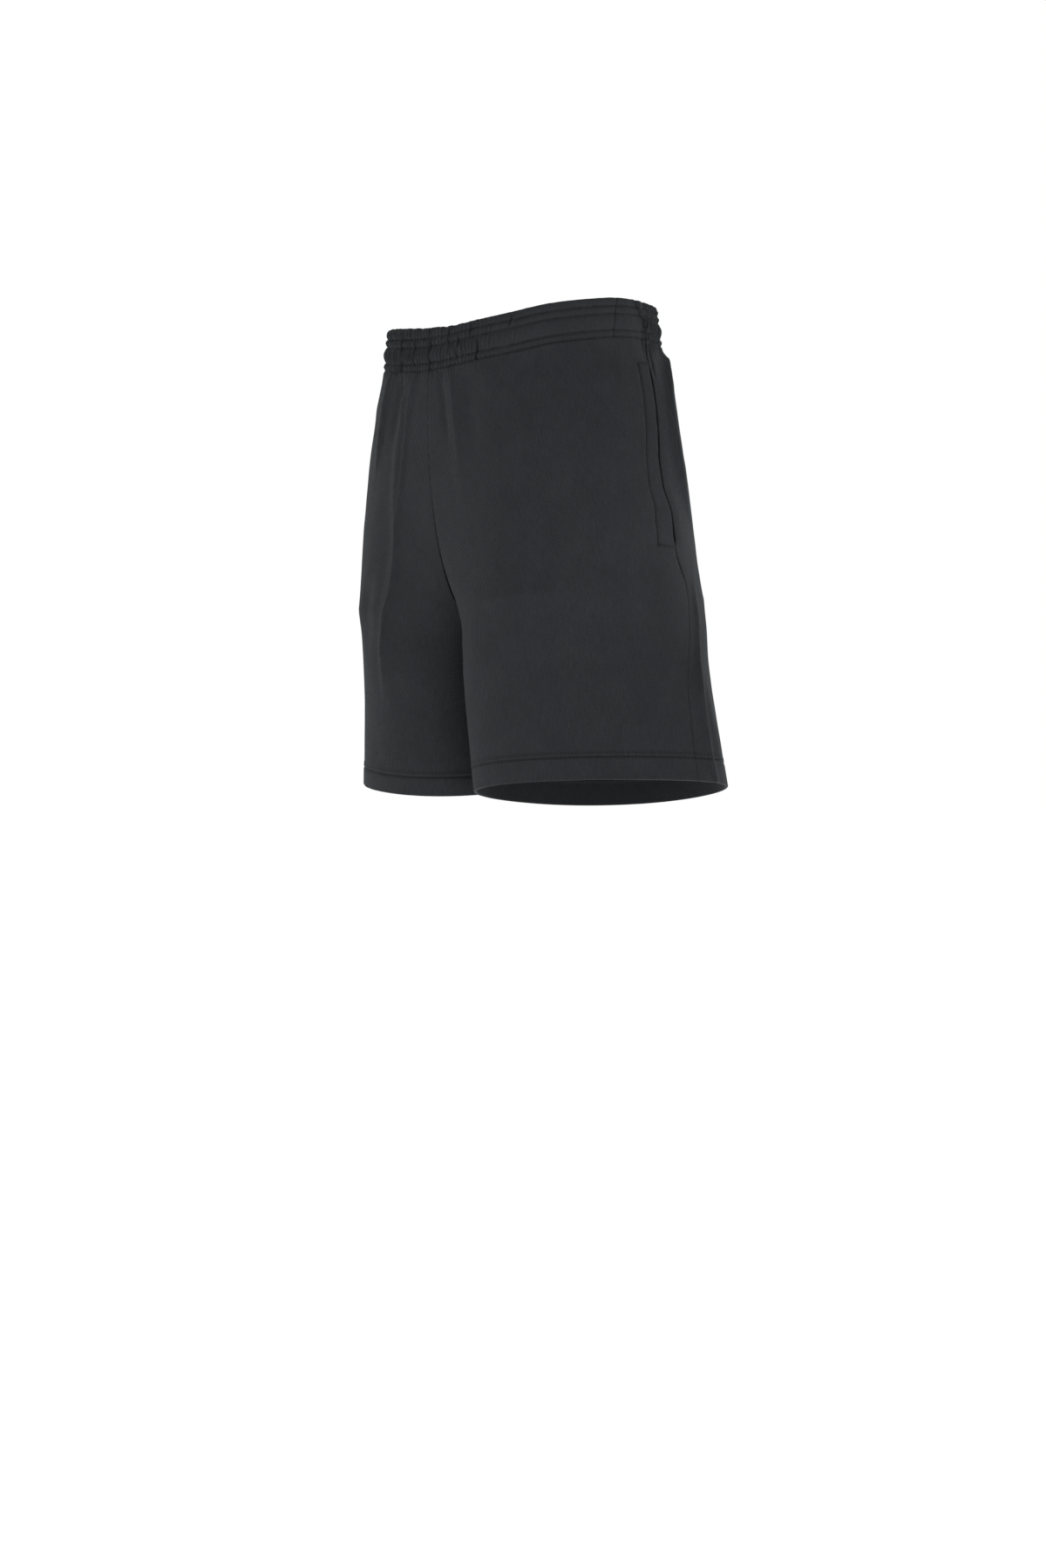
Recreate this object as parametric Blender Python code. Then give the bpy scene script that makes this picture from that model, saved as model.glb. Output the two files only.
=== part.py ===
"""Fleece shorts as they hang when worn, hollow, with nobody in them.

Metres. +Z is up, the wearer faces -Y and the wearer's left is +X. The origin is the middle of the
waist, on the axis of the body, half way up the waistband.

Each half of the garment has a front panel, from the centre seam (the inseam, below the crotch) to
the side seam, and a back panel from there to the centre seam or inseam behind. A point of a half
is named by two distances along the cloth: drop, below the waistband's seam, and around, from a line
down the side, which is below 0 towards the front and above 0 towards the back. Every piece is a
wall of cloth lofted through rings at given drops. Both halves are worked out on the wearer's left.
"""

import math

import bpy
import numpy as np

# Driving sizes of the cut.
WAISTBAND_HEIGHT = 0.037
PANEL_LENGTH = 0.4315
HEM_ALLOWANCE = 0.025
CLOTH = 0.0018
HEM_PLIES = 0.0030
WAISTBAND_WALL = 0.0021
SEAM_GAP = 0.0003

# Height of the waist from front to back, half way up the waistband. It sags a little more at the
# centre front.
WAIST_COLUMNS = ("y", "height")
WAIST = (
    (-0.122, -0.0257),
    (-0.100, -0.0198),
    (-0.070, -0.0108),
    (-0.030, -0.0044),
    (0.000, -0.0010),
    (0.030, 0.0000),
    (0.060, -0.0002),
    (0.122, -0.0005),
)
CENTRE_SAG = 0.0040
CENTRE_SAG_WIDTH = 0.055

# A leg's hem is nearly flat, uneven as worn. Its rim rises above its middle by bowl at a tenth of
# a metre.
HEM = {
    "left": {"height": -0.4575, "rise_outwards": 0.1217, "rise_backwards": -0.0868, "bowl": 0.0039},
    "right": {"height": -0.4440, "rise_outwards": 0.0931, "rise_backwards": 0.0729, "bowl": 0.0},
}

# Sections. drop is the distance below the waistband's seam. The torso ring goes round both hips.
TORSO_COLUMNS = ("drop", "half_width", "front", "back")
TORSO = (
    (-0.045, 0.1390, 0.1165, 0.1175),
    (0.000, 0.1455, 0.1180, 0.1215),
    (0.045, 0.1620, 0.1195, 0.1290),
    (0.100, 0.1755, 0.1185, 0.1300),
    (0.160, 0.1815, 0.1130, 0.1280),
    (0.240, 0.1850, 0.0960, 0.1190),
)
# The leg ring goes round one leg. lean shifts the back of it outwards and the front inwards.
LEG_COLUMNS = ("drop", "centre_x", "centre_y", "outer", "inner", "front", "back", "lean")
LEG = (
    (0.060, 0.0600, 0.0000, 0.1080, 0.2400, 0.1210, 0.1330, 0.000),
    (0.150, 0.0820, 0.0000, 0.0985, 0.1900, 0.1200, 0.1310, 0.000),
    (0.240, 0.0950, 0.0000, 0.0895, 0.1200, 0.1180, 0.1185, 0.080),
    (0.275, 0.0985, 0.0000, 0.0890, 0.0967, 0.1175, 0.1110, 0.165),
    (0.300, 0.1005, 0.0000, 0.0900, 0.0945, 0.1165, 0.1070, 0.205),
    (0.340, 0.1050, 0.0010, 0.0930, 0.0950, 0.1135, 0.1020, 0.260),
    (0.432, 0.1170, 0.0030, 0.0961, 0.0961, 0.1080, 0.1010, 0.332),
)
SPLIT_COLUMNS = ("drop", "split")
SPLIT = ((0.050, 0.0), (0.150, 0.45), (0.245, 1.0))
FRONT_FULLNESS = 2.35
BACK_FULLNESS = 2.10
LEG_FULLNESS = 2.10

# The line that places around are measured from: its y at each drop.
SIDE_COLUMNS = ("drop", "y")
SIDE_LINE = (
    (-0.045, 0.040),
    (0.000, 0.029),
    (0.100, 0.021),
    (0.160, 0.027),
    (0.230, 0.041),
    (0.280, 0.047),
    (0.340, 0.037),
    (0.432, 0.034),
)
# The side seam wanders about that line as the cloth hangs: its place around at each drop.
SEAM_COLUMNS = ("drop", "around")
SIDE_SEAM = (
    (0.000, 0.0080),
    (0.020, 0.0048),
    (0.050, 0.0045),
    (0.100, 0.0010),
    (0.125, -0.0020),
    (0.142, -0.0020),
    (0.170, 0.0070),
    (0.190, 0.0060),
    (0.204, 0.0045),
    (0.236, 0.0110),
    (0.270, 0.0035),
    (0.310, -0.0022),
    (0.380, -0.0038),
    (0.432, -0.0030),
)
SEAM_MARGIN = 0.090

RING_SAMPLES = 1200


def column(table, names, name, drop):
    """One named column of a table at a drop, by monotone cubic interpolation."""
    rows = np.array(table, float)
    at, value = rows[:, 0], rows[:, names.index(name)]
    drop = min(max(drop, at[0]), at[-1])
    step = np.diff(at)
    slope = np.diff(value) / step
    tangent = np.concatenate([[slope[0]], np.zeros(len(slope) - 1), [slope[-1]]])
    for i in range(1, len(slope)):
        if slope[i - 1] * slope[i] > 0:
            before, after = 2 * step[i] + step[i - 1], step[i] + 2 * step[i - 1]
            tangent[i] = (before + after) / (before / slope[i - 1] + after / slope[i])
    i = min(int(np.searchsorted(at, drop, side="right")) - 1, len(step) - 1)
    t = (drop - at[i]) / step[i]
    return (
        value[i] * (1 + 2 * t) * (1 - t) ** 2
        + tangent[i] * step[i] * t * (1 - t) ** 2
        + value[i + 1] * t * t * (3 - 2 * t)
        + tangent[i + 1] * step[i] * t * t * (t - 1)
    )


def smooth_step(value):
    value = np.clip(value, 0.0, 1.0)
    return value * value * (3 - 2 * value)


def oval(angle, outer, inner, front, back, fullness_front, fullness_back):
    """x and y of a closed oval about its own centre. Angle 0 is outwards and 90 degrees is back."""
    fullness = np.where(np.sin(angle) < 0, fullness_front, fullness_back)
    across, along = np.cos(angle), np.sin(angle)
    x = np.where(across > 0, outer, inner) * np.sign(across) * np.abs(across) ** (2 / fullness)
    y = np.where(along > 0, back, front) * np.sign(along) * np.abs(along) ** (2 / fullness)
    return x, y


def torso_half(drop):
    """The left half of the torso ring, from the centre front round the hip to the centre back."""
    half_width, front, back = (column(TORSO, TORSO_COLUMNS, n, drop) for n in TORSO_COLUMNS[1:])
    angle = np.linspace(-math.pi / 2, math.pi / 2, RING_SAMPLES)
    x, y = oval(angle, half_width, half_width, front, back, FRONT_FULLNESS, BACK_FULLNESS)
    return np.stack([x, y], axis=1)


def leg_half(drop):
    """The leg ring from the centre plane or the inseam in front, outwards and back round to it."""
    centre_x, centre_y, outer, inner, front, back, lean = (
        column(LEG, LEG_COLUMNS, n, drop) for n in LEG_COLUMNS[1:]
    )
    angle = np.linspace(-math.pi, math.pi, 2 * RING_SAMPLES, endpoint=False)
    x, y = oval(angle, outer, inner, front, back, LEG_FULLNESS, LEG_FULLNESS)
    ring = np.stack([centre_x + x + lean * y, centre_y + y], axis=1)
    innermost = int(ring[:, 0].argmin())
    ring = np.roll(ring, -innermost, axis=0)
    ring = np.vstack([ring, ring[:1]])
    if ring[0, 0] >= 0:
        return ring
    # Above the crotch the ring stops where it meets the centre plane, in front and behind.
    inside = np.flatnonzero(ring[:, 0] > 0)
    first, last = inside[0], inside[-1]
    ends = []
    for a, b in ((first, first - 1), (last, last + 1)):
        share = ring[a, 0] / (ring[a, 0] - ring[b, 0])
        ends.append(ring[a] + share * (ring[b] - ring[a]))
    return np.vstack([ends[:1], ring[first : last + 1], ends[1:]])


def along(line, at):
    """Points of a line at shares of its length."""
    step = np.linalg.norm(np.diff(line, axis=0), axis=1)
    length = np.concatenate([[0], np.cumsum(step)])
    return np.stack([np.interp(at * length[-1], length, line[:, k]) for k in range(2)], axis=1)


def split_at_side(line, seam_y):
    """The front and the back stretch of a half ring, cut where its outer side crosses seam_y."""
    outermost = int(line[:, 0].argmax())
    # Search the outer side only, from its furthest point backwards.
    cut = outermost + int(np.argmax(line[outermost:, 1] >= seam_y))
    if line[outermost, 1] > seam_y:
        cut = int(np.argmax(line[: outermost + 1, 1] >= seam_y))
    share = (seam_y - line[cut - 1, 1]) / (line[cut, 1] - line[cut - 1, 1])
    point = line[cut - 1] + share * (line[cut] - line[cut - 1])
    return np.vstack([line[:cut], point]), np.vstack([point, line[cut:]])


def half_ring(drop):
    """The half's ring at a drop, with each point's place around."""
    seam_y = column(SIDE_LINE, SIDE_COLUMNS, "y", drop)
    split = column(SPLIT, SPLIT_COLUMNS, "split", drop)
    share = np.linspace(0, 1, RING_SAMPLES // 2)
    hips = split_at_side(torso_half(min(drop, TORSO[-1][0])), seam_y)
    leg = split_at_side(leg_half(max(drop, LEG[0][0])), seam_y)
    front, back = (
        along(h, share) * (1 - split) + along(g, share) * split for h, g in zip(hips, leg)
    )
    line = np.vstack([front, back[1:]])
    step = np.linalg.norm(np.diff(line, axis=0), axis=1)
    around = np.concatenate([[0], np.cumsum(step)])
    return line, around - around[len(front) - 1]


def waist_height(x, y):
    rows = np.linspace(WAIST[0][0], WAIST[-1][0], 60)
    heights = [column(WAIST, WAIST_COLUMNS, "height", row) for row in rows]
    sag = CENTRE_SAG * np.exp(-((x / CENTRE_SAG_WIDTH) ** 2)) * smooth_step(-y / 0.06)
    return np.interp(y, rows, heights) - sag


def hem_height(x, y, side):
    hem = HEM[side]
    outwards = x - LEG[-1][1]
    rim = hem["bowl"] * (outwards**2 + y**2) / 0.1**2
    return hem["height"] + hem["rise_outwards"] * outwards + hem["rise_backwards"] * y + rim


def rest_point(drop, around, side):
    """Points of the cloth's outer face before folds."""
    line, places = half_ring(drop)
    x = np.interp(around, places, line[:, 0])
    y = np.interp(around, places, line[:, 1])
    share = min(max(drop / PANEL_LENGTH, 0.0), 1.0)
    top = waist_height(x, y) - WAISTBAND_HEIGHT / 2
    z = top + share * (hem_height(x, y, side) - top) if drop >= 0 else top - drop
    return np.stack([x + SEAM_GAP / 2, y, z], axis=1)


# Folds of the panels, each a curve from its top through its middle to its end, with its width.
# A depth above 0 is a ridge, below 0 a trough.
FOLD_COLUMNS = (
    "side", "top_around", "top_drop", "middle_around", "middle_drop",
    "end_around", "end_drop", "width", "depth",
)
FOLDS = (
    ("right", -0.174, 0.000, -0.170, 0.044, -0.157, 0.112, 0.008, 0.0030),
    ("right", -0.219, 0.000, -0.201, 0.079, -0.220, 0.182, 0.008, 0.0032),
    ("right", -0.207, 0.100, -0.248, 0.258, -0.210, 0.385, 0.009, 0.0032),
    ("right", -0.172, 0.205, -0.200, 0.240, -0.192, 0.305, 0.014, -0.0035),
    ("right", -0.197, 0.000, -0.202, 0.035, -0.186, 0.100, 0.009, -0.0015),
    ("right", -0.092, 0.000, -0.090, 0.050, -0.085, 0.110, 0.010, 0.0030),
    ("right", -0.048, 0.000, -0.045, 0.060, -0.050, 0.150, 0.010, -0.0030),
    ("left", -0.212, 0.000, -0.221, 0.066, -0.220, 0.185, 0.010, 0.0014),
    ("left", -0.189, 0.000, -0.200, 0.057, -0.195, 0.120, 0.010, -0.0022),
    ("left", -0.167, 0.000, -0.174, 0.045, -0.186, 0.125, 0.010, 0.0010),
    ("left", -0.131, 0.000, -0.133, 0.040, -0.138, 0.090, 0.010, -0.0025),
    ("left", 0.056, 0.010, 0.007, 0.082, 0.068, 0.205, 0.011, 0.0060),
    ("left", 0.080, 0.000, 0.078, 0.055, 0.077, 0.120, 0.011, -0.0035),
    ("left", 0.116, 0.000, 0.118, 0.060, 0.123, 0.130, 0.011, 0.0030),
    ("left", 0.154, 0.000, 0.156, 0.045, 0.160, 0.100, 0.011, -0.0030),
    ("left", 0.185, 0.245, 0.130, 0.275, 0.075, 0.290, 0.013, -0.0040),
    ("left", 0.008, 0.290, 0.024, 0.370, 0.036, 0.440, 0.013, 0.0045),
    ("right", 0.045, 0.005, 0.045, 0.090, 0.060, 0.185, 0.011, 0.0035),
    ("right", 0.090, 0.000, 0.090, 0.060, 0.084, 0.130, 0.011, -0.0035),
    ("right", 0.130, 0.000, 0.132, 0.045, 0.134, 0.105, 0.011, 0.0030),
    ("right", 0.162, 0.000, 0.166, 0.055, 0.172, 0.115, 0.011, -0.0030),
    ("right", 0.180, 0.250, 0.134, 0.285, 0.085, 0.300, 0.013, -0.0040),
    ("right", 0.016, 0.270, 0.027, 0.360, 0.030, 0.440, 0.013, 0.0040),
)
# Folds start flat at the waistband's seam and stand up below it.
FOLD_START = 0.018

# The pocket is a gap left in the side seam. Its front edge stands a little away from the body.
MOUTH_TOP = 0.025
MOUTH_BOTTOM = 0.2015
MOUTH_MARGIN = 0.026
MOUTH_LIFT = 0.0022
BAG_COLUMNS = 10
BAG_BOTTOM = 0.236
BAG_PLY = 0.0010
BAG_CLEARANCE = 0.0004

# Gathers of the waistband, in the elastic's casing. A turn is -1 at the centre front, 0 at the side
# seam and 1 at the centre back.
GATHER_COLUMNS = ("side", "from_turn", "to_turn", "count", "depth")
BAND_JOIN = -0.16
GATHERS = (
    ("right", -1.00, BAND_JOIN, 46, 0.0008),
    ("right", BAND_JOIN, 0.00, 8, 0.0009),
    ("right", 0.00, 1.00, 34, 0.0010),
    ("left", -1.00, -0.66, 18, 0.0008),
    ("left", -0.66, -0.51, 7, 0.0004),
    ("left", -0.51, BAND_JOIN, 7, 0.0001),
    ("left", BAND_JOIN, 0.00, 4, 0.0001),
    ("left", 0.00, 1.00, 32, 0.0011),
)
# Stand of the casing's outer face at each drop: pinched along the stitched rows, full between.
CASING_COLUMNS = ("drop", "stand")
CASING = (
    (-0.0370, -0.0004),
    (-0.0342, 0.0008),
    (-0.0313, -0.0001),
    (-0.0276, 0.0008),
    (-0.0239, -0.0001),
    (-0.0154, 0.0010),
    (-0.0068, -0.0001),
    (-0.0036, 0.0006),
    (-0.00015, 0.0000),
)

PANEL_COLUMNS = 22
DROPS_ABOVE_CROTCH = (0.008, 0.018, 0.034, 0.056, 0.082, 0.110, 0.138, 0.166, 0.192, 0.214, 0.232)
SHARES_OF_CROTCH_CURVE = (0.35, 0.60, 0.78, 0.90, 0.97, 1.0)
DROPS_BELOW_CROTCH = (0.288, 0.306, 0.330, 0.356, 0.382)

FLEECE = (0.0275, 0.0300, 0.0335, 1.0)


def crotch_drop():
    """The drop at which the leg's ring first closes."""
    low, high = DROPS_ABOVE_CROTCH[-1], DROPS_BELOW_CROTCH[0]
    for _ in range(30):
        middle = (low + high) / 2
        ring = leg_half(middle)
        closed = np.linalg.norm(ring[0] - ring[-1]) < 1e-9
        low, high = (low, middle) if closed else (middle, high)
    return high


def panel_drops():
    crotch = crotch_drop()
    last = DROPS_ABOVE_CROTCH[-1]
    curve = [last + share * (crotch - last) for share in SHARES_OF_CROTCH_CURVE]
    hem_top = PANEL_LENGTH - HEM_ALLOWANCE
    hem = [hem_top - 0.0006, hem_top, PANEL_LENGTH]
    return [SEAM_GAP / 2, *DROPS_ABOVE_CROTCH, *curve, *DROPS_BELOW_CROTCH, *hem]


def outward(drop, around, side):
    """Unit normals of the resting cloth, out of the garment."""
    step_down, step_around = 0.0015, 0.002
    low, high = max(drop - step_down, TORSO[0][0]), min(drop + step_down, PANEL_LENGTH)
    down = rest_point(high, around, side) - rest_point(low, around, side)
    places = half_ring(drop)[1]
    after = np.minimum(around + step_around, places[-1])
    before = np.maximum(around - step_around, places[0])
    onwards = rest_point(drop, after, side) - rest_point(drop, before, side)
    normal = np.cross(down, onwards)
    return normal / np.linalg.norm(normal, axis=1)[:, None]


def fold_height(drop, around, side):
    """How far the folds lift the cloth at points of one half."""
    height = np.zeros_like(around)
    share = np.linspace(0, 1, 41)
    weights = ((1 - share) ** 2, 2 * share * (1 - share), share**2)
    for row in FOLDS:
        fold = dict(zip(FOLD_COLUMNS, row))
        if fold["side"] != side:
            continue
        names = ("top", "middle", "end")
        path_around = sum(w * fold[n + "_around"] for w, n in zip(weights, names))
        path_drop = sum(w * fold[n + "_drop"] for w, n in zip(weights, names))
        distance = np.hypot(around[:, None] - path_around, drop - path_drop)
        nearest = distance.argmin(axis=1)
        closest = distance[np.arange(len(around)), nearest]
        fade = smooth_step((1 - share[nearest]) / 0.45)
        if fold["top_drop"] > FOLD_START:
            fade = fade * smooth_step(share[nearest] / 0.3)
        height += fold["depth"] * fade * np.exp(-((closest / fold["width"]) ** 2))
    return height * smooth_step(drop / FOLD_START)


def seam_around(drop):
    return column(SIDE_SEAM, SEAM_COLUMNS, "around", drop)


def mouth_height(drop, around):
    """How far the pocket's front edge stands off, up to the side seam only."""
    share = (drop - MOUTH_TOP) / (MOUTH_BOTTOM - MOUTH_TOP)
    if not 0 < share < 1:
        return np.zeros_like(around)
    near = smooth_step(1 + (around - seam_around(drop)) / MOUTH_MARGIN)
    return MOUTH_LIFT * math.sin(math.pi * share) ** 0.5 * near


def panel_around(drop, end, columns):
    """Places of a panel's columns at a drop, between the side seam and the centre seam or inseam.

    Only the columns far from the side seam follow the quick change of length where the leg's ring
    closes, and only the near ones follow the side seam as it wanders.
    """
    above, below = DROPS_ABOVE_CROTCH[-2], DROPS_BELOW_CROTCH[0]
    pick = 0 if end == "front" else -1
    length = abs(half_ring(drop)[1][pick])
    even = length
    if above < drop < below:
        share = (drop - above) / (below - above)
        lengths = [abs(half_ring(d)[1][pick]) for d in (above, below)]
        even = lengths[0] * (1 - share) + lengths[1] * share
    step = np.linspace(0, 1, columns)
    place = even * step + (length - even) * step**8
    place = SEAM_GAP / 2 + place * (length - SEAM_GAP) / length
    wander = seam_around(drop) * smooth_step(1 - place / SEAM_MARGIN)
    return (wander - place)[::-1] if end == "front" else wander + place


def mirrored(points, side):
    return points * np.array([1.0 if side == "left" else -1.0, 1.0, 1.0])


def new_piece(name, vertices, faces, colour):
    mesh = bpy.data.meshes.new(name)
    mesh.from_pydata([tuple(v) for v in vertices], [], faces)
    mesh.shade_smooth()
    mesh.set_sharp_from_angle(angle=math.radians(50))
    piece = bpy.data.objects.new(name, mesh)
    collection.objects.link(piece)
    piece.data.materials.append(cloth_material(name, colour))
    return piece


def cloth_material(name, colour):
    material = bpy.data.materials.new(name + "_fleece")
    material.use_nodes = True
    shader = material.node_tree.nodes["Principled BSDF"]
    shader.inputs["Base Color"].default_value = colour
    shader.inputs["Roughness"].default_value = 0.95
    shader.inputs["Metallic"].default_value = 0.0
    return material


def wall(name, outer, inner, flip):
    """A closed wall between two grids of points with the same columns.

    The inner grid may have fewer rows, each of which stands behind one of the outer rows.
    """
    rows, columns = outer.shape[:2]
    inner_rows = inner.shape[0]
    behind = np.linspace(0, rows - 1, inner_rows).round().astype(int)
    first_inner = rows * columns

    def out(i, j):
        return int(i * columns + j)

    def inn(i, j):
        return int(first_inner + i * columns + j)

    faces = []
    for j in range(columns - 1):
        for i in range(rows - 1):
            faces.append([out(i, j), out(i + 1, j), out(i + 1, j + 1), out(i, j + 1)])
        for i in range(inner_rows - 1):
            faces.append([inn(i, j), inn(i, j + 1), inn(i + 1, j + 1), inn(i + 1, j)])
        faces.append([out(0, j), out(0, j + 1), inn(0, j + 1), inn(0, j)])
        last, last_inner = rows - 1, inner_rows - 1
        faces.append([out(last, j + 1), out(last, j), inn(last_inner, j), inn(last_inner, j + 1)])
    for i in range(inner_rows - 1):
        outside = range(behind[i], behind[i + 1] + 1)
        faces.append([inn(i, 0), inn(i + 1, 0)] + [out(k, 0) for k in reversed(outside)])
        end = columns - 1
        faces.append([inn(i + 1, end), inn(i, end)] + [out(k, end) for k in outside])
    if flip:
        faces = [face[::-1] for face in faces]
    vertices = np.vstack([outer.reshape(-1, 3), inner.reshape(-1, 3)])
    return new_piece(name, vertices, faces, FLEECE)


def folded_row(drop, around, side):
    """Outer points of the folded cloth at a drop, clear of the other half, and the normals."""
    normal = outward(drop, around, side)
    points = rest_point(drop, around, side) + fold_height(drop, around, side)[:, None] * normal
    points[:, 0] = np.maximum(points[:, 0], SEAM_GAP / 2)
    return points, normal


def make_panel(name, side, end):
    outer, inner = [], []
    for drop in panel_drops():
        around = panel_around(drop, end, PANEL_COLUMNS)
        points, normal = folded_row(drop, around, side)
        if end == "front":
            points = points + mouth_height(drop, around)[:, None] * normal
        plies = HEM_PLIES if drop >= PANEL_LENGTH - HEM_ALLOWANCE else CLOTH
        outer.append(points)
        inner.append(points - plies * normal)
    outer, inner = mirrored(np.array(outer), side), mirrored(np.array(inner), side)
    return wall(name, outer, inner, flip=side == "right")


def make_pocket_bag(name, side):
    """The bag's inner layer. It lies flat behind the front panel, whose points it takes inwards."""
    outer, inner = [], []
    for drop in panel_drops():
        if not MOUTH_TOP / 2 < drop < BAG_BOTTOM:
            continue
        around = panel_around(drop, "front", PANEL_COLUMNS)[-BAG_COLUMNS:]
        points, normal = folded_row(drop, around, side)
        outer.append(points - (CLOTH + BAG_CLEARANCE) * normal)
        inner.append(points - (CLOTH + BAG_CLEARANCE + BAG_PLY) * normal)
    outer, inner = mirrored(np.array(outer), side), mirrored(np.array(inner), side)
    return wall(name, outer, inner, flip=side == "right")


def gather_columns(side, start, end):
    """Turn and height of every crest and trough of the waistband between two turns."""
    turns, heights = [], []
    for row in GATHERS:
        gather = dict(zip(GATHER_COLUMNS, row))
        first, last = gather["from_turn"], gather["to_turn"]
        if gather["side"] != side or first < start or last > end:
            continue
        pitch = (last - first) / gather["count"]
        for k in range(gather["count"]):
            uneven = 0.22 * math.sin(2.3 * k + 1.7) + 0.12 * math.sin(5.1 * k)
            fuller = 1 + 0.35 * math.sin(1.9 * k + 0.6)
            turns += [first + pitch * k, first + pitch * (k + 0.5 + uneven)]
            heights += [-gather["depth"] * fuller, gather["depth"] * fuller]
    return np.array(turns + [end]), np.array([0.0] + heights[1:] + [0.0])


def band_row(drop, turns, side):
    """Points of the casing's mean face at a drop, and the normals there."""
    places = half_ring(drop)[1]
    around = np.where(turns < 0, -turns * places[0], turns * places[-1])
    return rest_point(drop, around, side), outward(drop, around, side)


def band_grid(side, start, end):
    """Outer and inner points of a stretch of the casing on one half."""
    turns, height = gather_columns(side, start, end)
    outer, inner = [], []
    for drop, stand in CASING:
        points, normal = band_row(drop, turns, side)
        edge = 0.35 if drop in (CASING[0][0], CASING[-1][0]) else 1.0
        outer.append(points + (stand + edge * height)[:, None] * normal)
    for drop in (CASING[0][0], CASING[len(CASING) // 2][0], CASING[-1][0]):
        points, normal = band_row(drop, turns, side)
        inner.append(points - WAISTBAND_WALL * normal)
    return mirrored(np.array(outer), side), mirrored(np.array(inner), side)


def shortened(grid, ends):
    """Moves a grid's end columns half a seam's gap inwards."""
    grid = grid.copy()
    for end in ends:
        inside = 1 if end == 0 else -2
        towards = grid[:, inside] - grid[:, end]
        length = np.linalg.norm(towards, axis=1)[:, None]
        grid[:, end] += towards / length * SEAM_GAP / 2
    return grid


def make_front_band(name, side):
    outer, inner = (shortened(grid, [-1]) for grid in band_grid(side, -1.0, BAND_JOIN))
    return wall(name, outer, inner, flip=side == "right")


def make_back_band(name):
    """The back of the casing runs forward past both side seams."""
    joined = []
    halves = [band_grid(side, BAND_JOIN, 1.0) for side in ("left", "right")]
    for left_grid, right_grid in zip(*halves):
        middle = (left_grid[:, -1:] + right_grid[:, -1:]) / 2
        ring = np.concatenate([left_grid[:, :-1], middle, right_grid[:, -2::-1]], axis=1)
        joined.append(shortened(ring, [0, -1]))
    return wall(name, joined[0], joined[1], flip=False)


def clear_scene():
    for item in list(bpy.data.objects):
        bpy.data.objects.remove(item, do_unlink=True)


clear_scene()
collection = bpy.data.collections.new("fleece_shorts")
bpy.context.scene.collection.children.link(collection)

for half in ("left", "right"):
    make_panel("front_" + half, half, "front")
    make_panel("back_" + half, half, "back")
    make_pocket_bag("pocket_" + half, half)
    make_front_band("waistband_front_" + half, half)
make_back_band("waistband_back")
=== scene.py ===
"""Looks of the fleece shorts: cloth with its folds, gathers, seams and stitching.

Metres, in the frame of the solids. A point of the cloth is named by two distances along it, as in
the solids: drop, below the waistband's seam, and around, from the side line, below 0 in front.
Both halves are worked out on the wearer's left, and the right one is mirrored.
"""

import functools
import math

import bpy
import numpy as np
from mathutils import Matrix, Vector, noise


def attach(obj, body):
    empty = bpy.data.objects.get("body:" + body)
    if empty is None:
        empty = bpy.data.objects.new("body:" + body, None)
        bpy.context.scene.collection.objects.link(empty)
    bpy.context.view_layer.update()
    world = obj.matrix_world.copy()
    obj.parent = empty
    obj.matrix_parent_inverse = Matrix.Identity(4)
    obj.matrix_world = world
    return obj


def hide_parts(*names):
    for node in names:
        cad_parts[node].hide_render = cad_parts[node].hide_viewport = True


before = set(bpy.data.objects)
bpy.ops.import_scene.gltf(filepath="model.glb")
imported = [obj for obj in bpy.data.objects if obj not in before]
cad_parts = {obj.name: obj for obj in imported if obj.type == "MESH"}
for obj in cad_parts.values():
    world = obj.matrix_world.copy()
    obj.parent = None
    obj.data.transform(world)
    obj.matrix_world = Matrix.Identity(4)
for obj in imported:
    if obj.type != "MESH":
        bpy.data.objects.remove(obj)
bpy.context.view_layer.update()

# ---------------------------------------------------------------- sizes, as in the solids
WAISTBAND_HEIGHT = 0.037
PANEL_LENGTH = 0.4315
CLOTH = 0.0018
HEM_PLIES = 0.0030
WAISTBAND_WALL = 0.0021
SEAM_GAP = 0.00006
WAIST_COLUMNS = ("y", "height")
WAIST = (
    (-0.122, -0.0257),
    (-0.100, -0.0198),
    (-0.070, -0.0108),
    (-0.030, -0.0044),
    (0.000, -0.0010),
    (0.030, 0.0000),
    (0.060, -0.0002),
    (0.122, -0.0005),
)
CENTRE_SAG = 0.0040
CENTRE_SAG_WIDTH = 0.055
HEM = {
    "left": {"height": -0.4575, "rise_outwards": 0.1217, "rise_backwards": -0.0868, "bowl": 0.0039},
    "right": {"height": -0.4440, "rise_outwards": 0.0931, "rise_backwards": 0.0729, "bowl": 0.0},
}

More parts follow.
